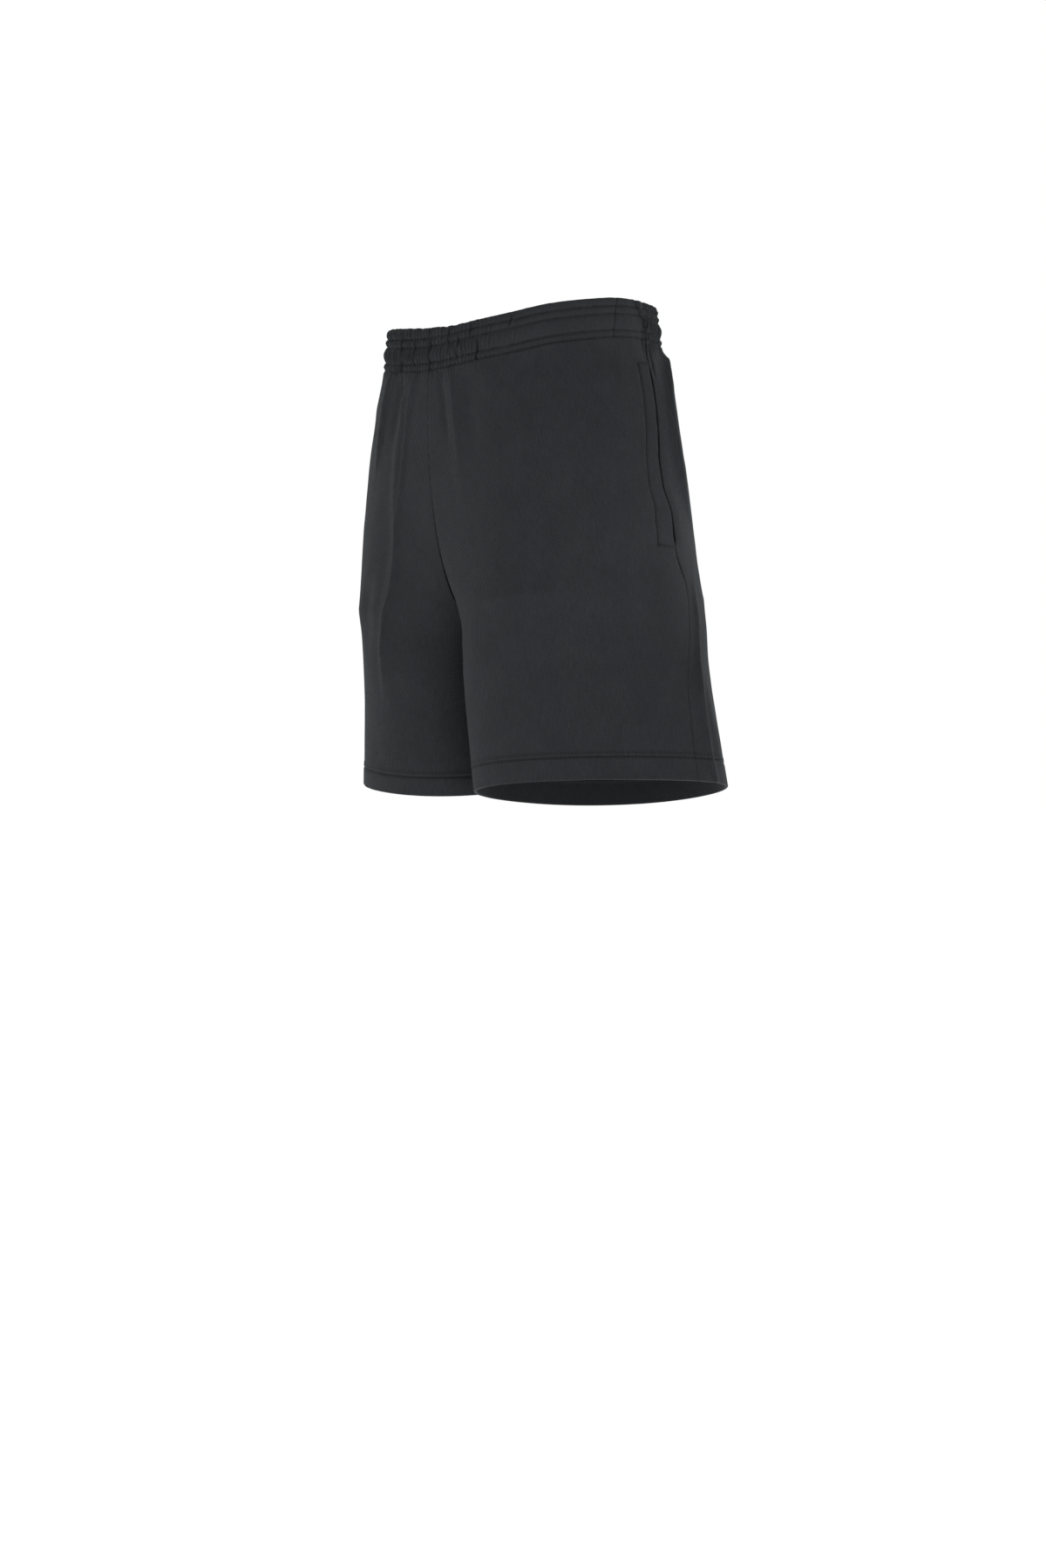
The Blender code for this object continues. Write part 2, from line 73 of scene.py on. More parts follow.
TORSO_COLUMNS = ("drop", "half_width", "front", "back")
TORSO = (
    (-0.045, 0.1390, 0.1165, 0.1175),
    (0.000, 0.1455, 0.1180, 0.1215),
    (0.045, 0.1620, 0.1195, 0.1290),
    (0.100, 0.1755, 0.1185, 0.1300),
    (0.160, 0.1815, 0.1130, 0.1280),
    (0.240, 0.1850, 0.0960, 0.1190),
)
LEG_COLUMNS = ("drop", "centre_x", "centre_y", "outer", "inner", "front", "back", "lean")
LEG = (
    (0.060, 0.0600, 0.0000, 0.1080, 0.2400, 0.1210, 0.1330, 0.000),
    (0.150, 0.0820, 0.0000, 0.0985, 0.1900, 0.1200, 0.1310, 0.000),
    (0.240, 0.0950, 0.0000, 0.0895, 0.1200, 0.1180, 0.1185, 0.080),
    (0.275, 0.0985, 0.0000, 0.0890, 0.0967, 0.1175, 0.1110, 0.165),
    (0.300, 0.1005, 0.0000, 0.0900, 0.0945, 0.1165, 0.1070, 0.205),
    (0.340, 0.1050, 0.0010, 0.0930, 0.0950, 0.1135, 0.1020, 0.260),
    (0.432, 0.1170, 0.0030, 0.0961, 0.0961, 0.1080, 0.1010, 0.332),
)
SPLIT_COLUMNS = ("drop", "split")
SPLIT = ((0.050, 0.0), (0.150, 0.45), (0.245, 1.0))
FRONT_FULLNESS = 2.35
BACK_FULLNESS = 2.10
LEG_FULLNESS = 2.10
SIDE_COLUMNS = ("drop", "y")
SIDE_LINE = (
    (-0.045, 0.040),
    (0.000, 0.029),
    (0.100, 0.021),
    (0.160, 0.027),
    (0.230, 0.041),
    (0.280, 0.047),
    (0.340, 0.037),
    (0.432, 0.034),
)
SEAM_COLUMNS = ("drop", "around")
SIDE_SEAM = (
    (0.000, 0.0080),
    (0.020, 0.0048),
    (0.050, 0.0045),
    (0.100, 0.0010),
    (0.125, -0.0020),
    (0.142, -0.0020),
    (0.170, 0.0070),
    (0.190, 0.0060),
    (0.204, 0.0045),
    (0.236, 0.0110),
    (0.270, 0.0035),
    (0.310, -0.0022),
    (0.380, -0.0038),
    (0.432, -0.0030),
)
SEAM_MARGIN = 0.090
RING_SAMPLES = 1200
CROTCH_ZONE = (0.214, 0.288)

FOLD_COLUMNS = (
    "side", "top_around", "top_drop", "middle_around", "middle_drop",
    "end_around", "end_drop", "width", "depth",
)
FOLDS = (
    ("right", -0.174, 0.000, -0.170, 0.044, -0.157, 0.112, 0.008, 0.0030),
    ("right", -0.219, 0.000, -0.201, 0.079, -0.220, 0.182, 0.008, 0.0032),
    ("right", -0.207, 0.100, -0.248, 0.258, -0.210, 0.385, 0.009, 0.0032),
    ("right", -0.172, 0.205, -0.200, 0.240, -0.192, 0.305, 0.014, -0.0035),
    ("right", -0.197, 0.000, -0.202, 0.035, -0.186, 0.100, 0.009, -0.0015),
    ("right", -0.092, 0.000, -0.090, 0.050, -0.085, 0.110, 0.010, 0.0030),
    ("right", -0.048, 0.000, -0.045, 0.060, -0.050, 0.150, 0.010, -0.0030),
    ("left", -0.212, 0.000, -0.221, 0.066, -0.220, 0.185, 0.010, 0.0014),
    ("left", -0.189, 0.000, -0.200, 0.057, -0.195, 0.120, 0.010, -0.0022),
    ("left", -0.167, 0.000, -0.174, 0.045, -0.186, 0.125, 0.010, 0.0010),
    ("left", -0.131, 0.000, -0.133, 0.040, -0.138, 0.090, 0.010, -0.0025),
    ("left", 0.056, 0.010, 0.007, 0.082, 0.068, 0.205, 0.011, 0.0060),
    ("left", 0.080, 0.000, 0.078, 0.055, 0.077, 0.120, 0.011, -0.0035),
    ("left", 0.116, 0.000, 0.118, 0.060, 0.123, 0.130, 0.011, 0.0030),
    ("left", 0.154, 0.000, 0.156, 0.045, 0.160, 0.100, 0.011, -0.0030),
    ("left", 0.185, 0.245, 0.130, 0.275, 0.075, 0.290, 0.013, -0.0040),
    ("left", 0.008, 0.290, 0.024, 0.370, 0.036, 0.440, 0.013, 0.0045),
    ("right", 0.045, 0.005, 0.045, 0.090, 0.060, 0.185, 0.011, 0.0035),
    ("right", 0.090, 0.000, 0.090, 0.060, 0.084, 0.130, 0.011, -0.0035),
    ("right", 0.130, 0.000, 0.132, 0.045, 0.134, 0.105, 0.011, 0.0030),
    ("right", 0.162, 0.000, 0.166, 0.055, 0.172, 0.115, 0.011, -0.0030),
    ("right", 0.180, 0.250, 0.134, 0.285, 0.085, 0.300, 0.013, -0.0040),
    ("right", 0.016, 0.270, 0.027, 0.360, 0.030, 0.440, 0.013, 0.0040),
)
FOLD_START = 0.018
# Smaller creases and the folds' narrow crests, which only the looks have.
CREASES = (
    ("right", -0.168, 0.000, -0.178, 0.052, -0.157, 0.130, 0.0030, 0.0024),
    ("right", -0.221, 0.000, -0.222, 0.062, -0.219, 0.200, 0.0028, 0.0020),
    ("right", -0.209, 0.120, -0.256, 0.258, -0.196, 0.375, 0.0030, 0.0020),
    ("right", -0.206, 0.000, -0.209, 0.020, -0.212, 0.060, 0.0024, 0.0014),
    ("right", -0.196, 0.000, -0.200, 0.035, -0.188, 0.090, 0.0060, -0.0012),
    ("right", -0.205, 0.385, -0.190, 0.400, -0.178, 0.402, 0.0040, -0.0010),
    ("right", -0.130, 0.002, -0.127, 0.030, -0.122, 0.060, 0.0050, 0.0010),
    ("left", -0.226, 0.000, -0.228, 0.030, -0.230, 0.095, 0.0050, -0.0020),
    ("left", -0.152, 0.002, -0.154, 0.020, -0.158, 0.045, 0.0040, -0.0008),
    ("left", -0.112, 0.002, -0.114, 0.025, -0.116, 0.055, 0.0050, -0.0008),
    ("left", -0.060, 0.180, -0.045, 0.200, -0.012, 0.205, 0.0060, -0.0008),
    ("left", 0.014, 0.003, 0.014, 0.018, 0.012, 0.042, 0.0024, -0.0030),
    ("left", -0.211, 0.000, -0.216, 0.055, -0.217, 0.130, 0.0034, 0.0013),
    ("left", 0.046, 0.016, 0.004, 0.085, 0.060, 0.195, 0.0036, 0.0026),
    ("left", 0.040, 0.205, -0.027, 0.345, 0.062, 0.560, 0.0036, 0.0028),
    ("left", 0.100, 0.005, 0.101, 0.030, 0.104, 0.060, 0.0050, 0.0012),
    ("left", 0.135, 0.005, 0.135, 0.030, 0.138, 0.060, 0.0050, -0.0012),
    ("right", 0.022, 0.005, 0.020, 0.045, 0.024, 0.090, 0.0050, 0.0014),
    ("right", 0.110, 0.005, 0.108, 0.030, 0.106, 0.065, 0.0050, -0.0012),
    ("right", 0.148, 0.005, 0.150, 0.030, 0.152, 0.055, 0.0050, 0.0012),
)

MOUTH_TOP = 0.025
MOUTH_BOTTOM = 0.2015
MOUTH_MARGIN = 0.026
BAG_WIDTH = 0.115
BAG_BOTTOM = 0.236
BAG_PLY = 0.0010
BAG_CLEARANCE = 0.0004

GATHER_COLUMNS = ("side", "from_turn", "to_turn", "count", "depth")
BAND_JOIN = -0.16
GATHERS = (
    ("right", -1.00, BAND_JOIN, 46, 0.0008),
    ("right", BAND_JOIN, 0.00, 8, 0.0009),
    ("right", 0.00, 1.00, 34, 0.0010),
    ("left", -1.00, -0.66, 18, 0.0008),
    ("left", -0.66, -0.51, 7, 0.0004),
    ("left", -0.51, BAND_JOIN, 7, 0.0001),
    ("left", BAND_JOIN, 0.00, 4, 0.0001),
    ("left", 0.00, 1.00, 32, 0.0011),
)
# How loosely the casing is gathered at each turn: 0 is smooth, 1 is ruched, and more is fuller still.
LOOSE = {
    "right": ((-1.0, 1.3), (-0.60, 1.1), (1.0, 1.1)),
    "left": (
        (-1.0, 1.3), (-0.80, 1.1), (-0.62, 0.45), (-0.45, 0.25), (-0.02, 0.20), (0.04, 1.2), (1.0, 1.2),
    ),
}
BAND_STITCHES = (-0.0298, -0.0226, -0.0068)
# The casing puffs out between its top, the stitched rows and its seam.
CHANNEL_EDGES = (-WAISTBAND_HEIGHT, *BAND_STITCHES, -0.0001)
CHANNEL_STANDS = (0.0008, 0.0010, 0.0017, 0.0010)
# Rises of the casing's top edge in front: height, where each starts ahead of the side, and its run.
TOP_RISES = {
    "right": ((0.0014, 0.0, 0.40), (0.0026, 0.50, 0.30)),
    "left": ((0.0012, 0.0, 0.15), (0.0028, 0.85, 0.15)),
}
TOP_RISE_FADE = 0.006
# The tuck in the left side of the casing slants: its place around at each drop.
TUCK = ((-0.036, -0.0145), (-0.013, 0.0026), (-0.005, 0.0061), (0.000, 0.0080))
# Deep puckers of the casing in front, each from low to high down the casing.
PUCKER_COLUMNS = ("side", "turn", "low", "high", "width", "depth")
PUCKERS = (
    ("right", -0.809, -0.037, 0.004, 0.0016, 0.0024),
    ("right", -0.905, -0.030, -0.004, 0.0013, 0.0014),
    ("left", -0.994, -0.030, 0.004, 0.0015, 0.0018),
    ("left", -0.885, -0.037, -0.018, 0.0014, 0.0016),
    ("left", -0.835, -0.028, 0.000, 0.0012, 0.0014),
    ("left", -0.775, -0.037, -0.022, 0.0013, 0.0012),
    ("left", -0.735, -0.020, 0.004, 0.0014, 0.0016),
    ("left", -0.600, -0.037, -0.022, 0.0013, 0.0012),
)

# ---------------------------------------------------------------- sizes of the looks only
PANEL_STEP = 0.0021
# Nominal columns of a panel: close together at both seams and at the stitching beside the pocket.
STEPS_LENGTH = 0.300
SEAM_STEPS = (0.0, 0.0003, 0.0008, 0.0014, 0.0021, 0.0030, 0.0041)
STITCH_STEPS = 0.0015
NEAR_SEAM = 0.0212
BAND_STEP = 0.0015
SEAM_DIP = 0.00035
SIDE_SEAM_DIP = 0.0009
SEAM_DIP_WIDTH = 0.0012
MOUTH_BACK_SINK = 0.0014
STITCH_COLUMNS = ("drop", "place")
MOUTH_STITCH = (
    (0.0250, 0.0165),
    (0.0800, 0.0160),
    (0.1250, 0.0170),
    (0.1450, 0.0188),
    (0.1620, 0.0212),
    (0.1800, 0.0240),
    (0.2015, 0.0245),
)
STITCH_STEP = 0.0180
MOUTH_FRONT_GAP = 0.0018
MOUTH_BACK_GAP = 0.0030
MOUTH_REACH = 0.02
MOUTH_EDGE_LIFT = 0.0022
STITCH_LENGTH = 0.0024
STITCH_PITCH = 0.0032
THREAD_RADIUS = 0.00028
HEM_STITCHES = {"left": (0.0272, 0.0232), "right": (0.0240, 0.0194)}
SEWING_MARGIN = 0.001
SEWING_SAMPLE = 0.0008
BAR_HALF = 0.0007
EDGE_ROUND = 0.0013
THINNEST_PLY = 0.0004
BAG_CORNER = 0.035
# A turn of the casing in metres, from the side line to the centre front and near either centre.
FRONT_TURN = 0.243
CENTRE_TURN = 0.21
# Rows of a grid are close together at a stitched line, in place of the even ones this near to it.
CLOSE_ROWS = 0.0018


# ---------------------------------------------------------------- the cloth's resting form
def column(table, names, name, drop):
    """One named column of a table at a drop, by monotone cubic interpolation."""
    rows = np.array(table, float)
    at, value = rows[:, 0], rows[:, names.index(name)]
    drop = min(max(drop, at[0]), at[-1])
    step = np.diff(at)
    slope = np.diff(value) / step
    tangent = np.concatenate([[slope[0]], np.zeros(len(slope) - 1), [slope[-1]]])
    for i in range(1, len(slope)):
        if slope[i - 1] * slope[i] > 0:
            before, after = 2 * step[i] + step[i - 1], step[i] + 2 * step[i - 1]
            tangent[i] = (before + after) / (before / slope[i - 1] + after / slope[i])
    i = min(int(np.searchsorted(at, drop, side="right")) - 1, len(step) - 1)
    t = (drop - at[i]) / step[i]
    return (
        value[i] * (1 + 2 * t) * (1 - t) ** 2
        + tangent[i] * step[i] * t * (1 - t) ** 2
        + value[i + 1] * t * t * (3 - 2 * t)
        + tangent[i + 1] * step[i] * t * t * (t - 1)
    )


def smooth_step(value):
    value = np.clip(value, 0.0, 1.0)
    return value * value * (3 - 2 * value)


def oval(angle, outer, inner, front, back, fullness_front, fullness_back):
    """x and y of a closed oval about its own centre. Angle 0 is outwards, 90 degrees is back."""
    fullness = np.where(np.sin(angle) < 0, fullness_front, fullness_back)
    across, along = np.cos(angle), np.sin(angle)
    x = np.where(across > 0, outer, inner) * np.sign(across) * np.abs(across) ** (2 / fullness)
    y = np.where(along > 0, back, front) * np.sign(along) * np.abs(along) ** (2 / fullness)
    return x, y


def torso_half(drop):
    half_width, front, back = (column(TORSO, TORSO_COLUMNS, n, drop) for n in TORSO_COLUMNS[1:])
    angle = np.linspace(-math.pi / 2, math.pi / 2, RING_SAMPLES)
    x, y = oval(angle, half_width, half_width, front, back, FRONT_FULLNESS, BACK_FULLNESS)
    return np.stack([x, y], axis=1)


def leg_half(drop):
    centre_x, centre_y, outer, inner, front, back, lean = (
        column(LEG, LEG_COLUMNS, n, drop) for n in LEG_COLUMNS[1:]
    )
    angle = np.linspace(-math.pi, math.pi, 2 * RING_SAMPLES, endpoint=False)
    x, y = oval(angle, outer, inner, front, back, LEG_FULLNESS, LEG_FULLNESS)
    ring = np.stack([centre_x + x + lean * y, centre_y + y], axis=1)
    ring = np.roll(ring, -int(ring[:, 0].argmin()), axis=0)
    ring = np.vstack([ring, ring[:1]])
    if ring[0, 0] >= 0:
        return ring
    inside = np.flatnonzero(ring[:, 0] > 0)
    first, last = inside[0], inside[-1]
    ends = []
    for a, b in ((first, first - 1), (last, last + 1)):
        share = ring[a, 0] / (ring[a, 0] - ring[b, 0])
        ends.append(ring[a] + share * (ring[b] - ring[a]))
    return np.vstack([ends[:1], ring[first : last + 1], ends[1:]])


def lengths(line):
    """How far along a line each of its points lies."""
    step = np.linalg.norm(np.diff(line, axis=0), axis=1)
    return np.concatenate([[0], np.cumsum(step)])


def points_at(at, length, line):
    return np.stack([np.interp(at, length, values) for values in line.T], axis=1)


def along(line, at):
    """Points of a line at shares of its length."""
    length = lengths(line)
    return points_at(at * length[-1], length, line)


def split_at_side(line, seam_y):
    """The front and the back stretch of a half ring, cut where its outer side crosses seam_y."""
    outermost = int(line[:, 0].argmax())
    cut = outermost + int(np.argmax(line[outermost:, 1] >= seam_y))
    if line[outermost, 1] > seam_y:
        cut = int(np.argmax(line[: outermost + 1, 1] >= seam_y))
    share = (seam_y - line[cut - 1, 1]) / (line[cut, 1] - line[cut - 1, 1])
    point = line[cut - 1] + share * (line[cut] - line[cut - 1])
    return np.vstack([line[:cut], point]), np.vstack([point, line[cut:]])


@functools.lru_cache(maxsize=None)
def half_ring(drop):
    """The half's ring at a drop, with each point's place around."""
    seam_y = column(SIDE_LINE, SIDE_COLUMNS, "y", drop)
    split = column(SPLIT, SPLIT_COLUMNS, "split", drop)
    share = np.linspace(0, 1, RING_SAMPLES // 2)
    hips = split_at_side(torso_half(min(drop, TORSO[-1][0])), seam_y)
    leg = split_at_side(leg_half(max(drop, LEG[0][0])), seam_y)
    front, back = (along(h, share) * (1 - split) + along(g, share) * split for h, g in zip(hips, leg))
    line = np.vstack([front, back[1:]])
    around = lengths(line)
    return line, around - around[len(front) - 1]


@functools.lru_cache(maxsize=None)
def waist_rows():
    rows = np.linspace(WAIST[0][0], WAIST[-1][0], 60)
    return rows, [column(WAIST, WAIST_COLUMNS, "height", row) for row in rows]


def waist_height(x, y):
    sag = CENTRE_SAG * np.exp(-((x / CENTRE_SAG_WIDTH) ** 2)) * smooth_step(-y / 0.06)
    return np.interp(y, *waist_rows()) - sag


def hem_height(x, y, side):
    hem = HEM[side]
    outwards = x - LEG[-1][1]
    rim = hem["bowl"] * (outwards**2 + y**2) / 0.1**2
    return hem["height"] + hem["rise_outwards"] * outwards + hem["rise_backwards"] * y + rim


def rest_point(drop, around, side):
    """Points of the cloth's outer face before folds."""
    line, places = half_ring(drop)
    x = np.interp(around, places, line[:, 0])
    y = np.interp(around, places, line[:, 1])
    share = min(max(drop / PANEL_LENGTH, 0.0), 1.0)
    top = waist_height(x, y) - WAISTBAND_HEIGHT / 2
    z = top + share * (hem_height(x, y, side) - top) if drop >= 0 else top - drop
    return np.stack([x + SEAM_GAP / 2, y, z], axis=1)


@functools.lru_cache(maxsize=None)
def seam_around(drop):
    return column(SIDE_SEAM, SEAM_COLUMNS, "around", drop)


def beside_seam(place, drop):
    """Where around a point lies that is place away from the wandering side seam."""
    return place + seam_around(drop) * smooth_step(1 - np.abs(place) / SEAM_MARGIN)


def outward(drop, around, side):
    """Unit normals of the resting cloth, out of the garment."""
    step_down, step_around = 0.0015, 0.002
    low, high = max(drop - step_down, TORSO[0][0]), min(drop + step_down, PANEL_LENGTH)
    down = rest_point(high, around, side) - rest_point(low, around, side)
    places = half_ring(drop)[1]
    after = np.minimum(around + step_around, places[-1])
    before = np.maximum(around - step_around, places[0])
    onwards = rest_point(drop, after, side) - rest_point(drop, before, side)
    normal = np.cross(down, onwards)
    return normal / np.linalg.norm(normal, axis=1)[:, None]


# ---------------------------------------------------------------- what lifts or dents the cloth
def rows_of(side, table, names):
    """One side's rows of a table, as named values."""
    rows = [dict(zip(names, values)) for values in table]
    return [row for row in rows if row["side"] == side]


def curve_height(table, drop, around, side):
    """Height of the table's ridges and troughs at points of one half."""
    height = np.zeros_like(around)
    share = np.linspace(0, 1, 161)
    weights = ((1 - share) ** 2, 2 * share * (1 - share), share**2)
    for fold in rows_of(side, table, FOLD_COLUMNS):
        names = ("top", "middle", "end")
        path_around = sum(w * fold[n + "_around"] for w, n in zip(weights, names))
        path_drop = sum(w * fold[n + "_drop"] for w, n in zip(weights, names))
        reach = 3 * fold["width"]
        if drop < path_drop.min() - reach or drop > path_drop.max() + reach:
            continue
        distance = np.hypot(around[:, None] - path_around, drop - path_drop)
        nearest = distance.argmin(axis=1)
        closest = distance[np.arange(len(around)), nearest]
        fade = smooth_step((1 - share[nearest]) / 0.45)
        if fold["top_drop"] > FOLD_START:
            fade = fade * smooth_step(share[nearest] / 0.3)
        height += fold["depth"] * fade * np.exp(-((closest / fold["width"]) ** 2))
    return height


@functools.lru_cache(maxsize=None)
def gather_knots(side):
    """Turn and height of every crest and trough of the waistband on one half."""
    turns, heights = [], []
    for gather in rows_of(side, GATHERS, GATHER_COLUMNS):
        first, last = gather["from_turn"], gather["to_turn"]
        pitch = (last - first) / gather["count"]
        for k in range(gather["count"]):
            uneven = 0.22 * math.sin(2.3 * k + 1.7) + 0.12 * math.sin(5.1 * k)
            fuller = 1 + 0.35 * math.sin(1.9 * k + 0.6)
            turns += [first + pitch * k, first + pitch * (k + 0.5 + uneven)]
            heights += [-gather["depth"] * fuller, gather["depth"] * fuller]
    return np.array(turns + [1.0]), np.array(heights + [0.0])


def gather_height(turn, side):
    """Height of the gathers, rounded between each crest and trough."""
    turns, heights = gather_knots(side)
    turn = np.clip(turn, -1.0, 1.0 - 1e-9)
    i = np.clip(np.searchsorted(turns, turn, side="right") - 1, 0, len(turns) - 2)
    share = smooth_step((turn - turns[i]) / (turns[i + 1] - turns[i]))
    return heights[i] * (1 - share) + heights[i + 1] * share


def ripple(around, drop, scale_around, scale_drop, seed):
    """Smooth uneven values from -1 to 1 over the cloth."""
    return np.array(
        [noise.noise(Vector((a * scale_around, drop * scale_drop, seed))) for a in around]
    )


def dent(distance, width):
    return np.exp(-((distance / width) ** 2))


def cloth_height(drop, around, side):
    """How far a panel's outer face stands off the resting form, without its edges."""
    places = half_ring(drop)[1]
    turn = np.where(around < 0, -around / places[0], around / places[-1])
    seed = 3.0 if side == "left" else 8.0
    edge = smooth_step(np.minimum(around - places[0], places[-1] - around) / 0.02)
    height = curve_height(FOLDS, drop, around, side) * smooth_step(drop / FOLD_START)
    height += curve_height(CREASES, drop, around, side) * smooth_step(drop / 0.004)
    drift = 0.006 * ripple(around, drop, 30, 18, seed + 1)
    pleat = gather_height(turn + drift * smooth_step(drop / 0.02), side)
    height += pleat * 1.1 * math.exp(-drop / 0.010) * smooth_step(drop / 0.003 + 0.3)
    height += 0.0009 * ripple(around, drop, 55, 9, seed) * math.exp(-drop / 0.045) * edge
    height += 0.0007 * ripple(around, drop, 14, 9, seed + 2) * edge
    height += 0.00025 * ripple(around, drop, 70, 45, seed + 3) * edge
    above_hem = PANEL_LENGTH - drop
    upper, lower = HEM_STITCHES[side]
    pucker = 0.00030 * ripple(around, drop, 150, 60, seed + 4)
    height += pucker * dent(above_hem - lower, 0.007) * edge
    height += 0.0005 * smooth_step((upper + 0.0012 - above_hem) / 0.002 + 0.5)
    height -= 0.0004 * dent(above_hem - upper, 0.0011) + 0.0010 * dent(above_hem - lower, 0.0011)
    return height


def mouth_share(drop):
    return (drop - MOUTH_TOP) / (MOUTH_BOTTOM - MOUTH_TOP)


def mouth_opening(drop):
    """0 outside the pocket's mouth, 1 along most of it."""
    share = mouth_share(drop)
    return float(smooth_step(share / 0.06) * smooth_step((1 - share) / 0.05))


@functools.lru_cache(maxsize=None)
def mouth_stitch(drop):
    """How far in front of the mouth its stitching lies."""
    return column(MOUTH_STITCH, STITCH_COLUMNS, "place", drop)


@functools.lru_cache(maxsize=None)
def seam_table(drop):
    places = np.linspace(-SEAM_MARGIN, SEAM_MARGIN, 361)
    return beside_seam(places, drop), places


def from_seam(around, drop):
    """How far beside the wandering side seam a place around lies: beside_seam turned about."""
    shifted, places = seam_table(drop)
    return np.where(np.abs(around) < SEAM_MARGIN, np.interp(around, shifted, places), around)


def mouth_height(drop, around):
    """How far the pocket's front edge stands off, with the dent of its stitching."""
    share = min(max(mouth_share(drop), 0.0), 1.0)
    place = from_seam(around, drop)
    near = smooth_step(1 + place / MOUTH_MARGIN)
    height = MOUTH_EDGE_LIFT * math.sin(math.pi * share) ** 0.5 * near
    if 0 < share < 1:
        height = height - 0.0012 * dent(place + mouth_stitch(drop), 0.0012)
    return height


def mouth_places(drop, around, end):
    """Draws the two edges of the pocket's mouth apart."""
    opening = mouth_opening(drop)
    beside = around - seam_around(drop)
    if end == "front":
        return around - MOUTH_FRONT_GAP * opening * smooth_step(1 + beside / MOUTH_REACH)
    return around + MOUTH_BACK_GAP * opening * smooth_step(1 - beside / MOUTH_REACH)


def panel_row(drop, around, side, end):
    """Outer points of a panel at a drop, and the normals there."""
    normal = outward(drop, around, side)
    height = cloth_height(drop, around, side)
    if end == "front":
        height = height + mouth_height(drop, around)
    else:
        sink = MOUTH_BACK_SINK * mouth_opening(drop)
        height = height - sink * smooth_step(1 - (around - seam_around(drop)) / 0.016)
    points = rest_point(drop, around, side) + height[:, None] * normal
    points[:, 0] = np.maximum(points[:, 0], SEAM_GAP / 2)
    return points, normal


# ---------------------------------------------------------------- building meshes
def mirrored(points, side):
    return points * np.array([1.0 if side == "left" else -1.0, 1.0, 1.0])


def grid_faces(rows, columns, first, reverse):
    """Quads of a grid whose points are numbered row by row from first."""
    corner = first + np.arange(rows - 1)[:, None] * columns + np.arange(columns - 1)
    quads = [corner, corner + columns, corner + columns + 1, corner + 1]
    quads = np.stack(quads, axis=-1).reshape(-1, 4)
    return quads[:, ::-1] if reverse else quads


def wall(name, outer, inner, cloth, painted_shade, flip, materials):
    """A closed wall of cloth. For the materials, cloth holds each point's around and drop, and the
    painted shade grid how deep in a seam, a stitched line or a pucker the outer point lies, from 0
    to 1, which darkens its colour.
    """
    rows, columns = outer.shape[:2]
    count = rows * columns
    numbers = np.arange(count).reshape(rows, columns)
    rims = []
    for edge, reverse in (
        (numbers[0], False), (numbers[-1], True), (numbers[:, 0], True), (numbers[:, -1], False),
    ):
        quads = np.stack([edge[:-1], edge[1:], edge[1:] + count, edge[:-1] + count], axis=1)
        rims.append(quads[:, ::-1] if reverse else quads)
    outside = grid_faces(rows, columns, 0, False)
    inside = grid_faces(rows, columns, count, True)
    faces = np.concatenate([outside, *rims, inside])
    if flip:
        faces = faces[:, ::-1]
    vertices = np.concatenate([outer.reshape(-1, 3), inner.reshape(-1, 3)])
    mesh = bpy.data.meshes.new(name)
    mesh.from_pydata(vertices.tolist(), [], faces.tolist())
    mesh.shade_smooth()
    layer = mesh.uv_layers.new(name="cloth")
    flat = np.concatenate([cloth.reshape(-1, 2)] * 2)[faces.reshape(-1)]
    layer.uv.foreach_set("vector", flat.astype(np.float32).reshape(-1))
    # Painted shade for the materials, on the outer points only.
    depth = np.concatenate([np.clip(painted_shade, 0.0, 1.0).reshape(-1), np.zeros(count)])
    shade = mesh.attributes.new(name="painted_shade", type="FLOAT", domain="POINT")
    shade.data.foreach_set("value", depth.astype(np.float32))
    for material in materials:
        mesh.materials.append(material)
    inner_face = np.zeros(len(faces), dtype=np.int32)
    inner_face[len(outside) :] = min(1, len(materials) - 1)
    mesh.polygons.foreach_set("material_index", inner_face)
    return add_piece(name, mesh)


def add_object(name, data):
    added = bpy.data.objects.new(name, data)
    bpy.context.scene.collection.objects.link(added)
    return added


def add_piece(name, mesh):
    piece = add_object(name, mesh)
    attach(piece, "root")
    return piece


def wall_row(points, normal, near, far, around, drop, painted_shade):
    """One row of a wall, from near to far below the points, with what the materials read."""
    outer, inner = (points - np.reshape(depth, (-1, 1)) * normal for depth in (near, far))
    return outer, inner, np.stack([around, np.full_like(around, drop)], axis=1), painted_shade


def wall_grids(rows, side):
    """The rows of a wall as grids of outer points, inner points, places on the cloth and the painted
    shade of their crevices.
    """
    outer, inner, cloth, painted_shade = (np.array(part) for part in zip(*rows))
    return mirrored(outer, side), mirrored(inner, side), cloth, painted_shade


def edge_round(distance, radius):
    """How far a rounded edge falls back from the face at distances from its brink."""
    near = np.clip(1 - np.asarray(distance) / radius, 0.0, 1.0)
    return radius * (1 - np.sqrt(1 - near**2))


def panel_steps():
    """Nominal distances of a panel's columns from the side seam."""
    near = np.array(SEAM_STEPS)
    beside = np.arange(0.0054, 0.0160, 0.0013)
    stitch = STITCH_STEP + np.arange(-0.0014, 0.0015, 0.00056)
    middle = np.arange(NEAR_SEAM, STEPS_LENGTH - 0.0055, PANEL_STEP)
    return np.concatenate([near, beside, stitch, middle, STEPS_LENGTH - near[::-1]])


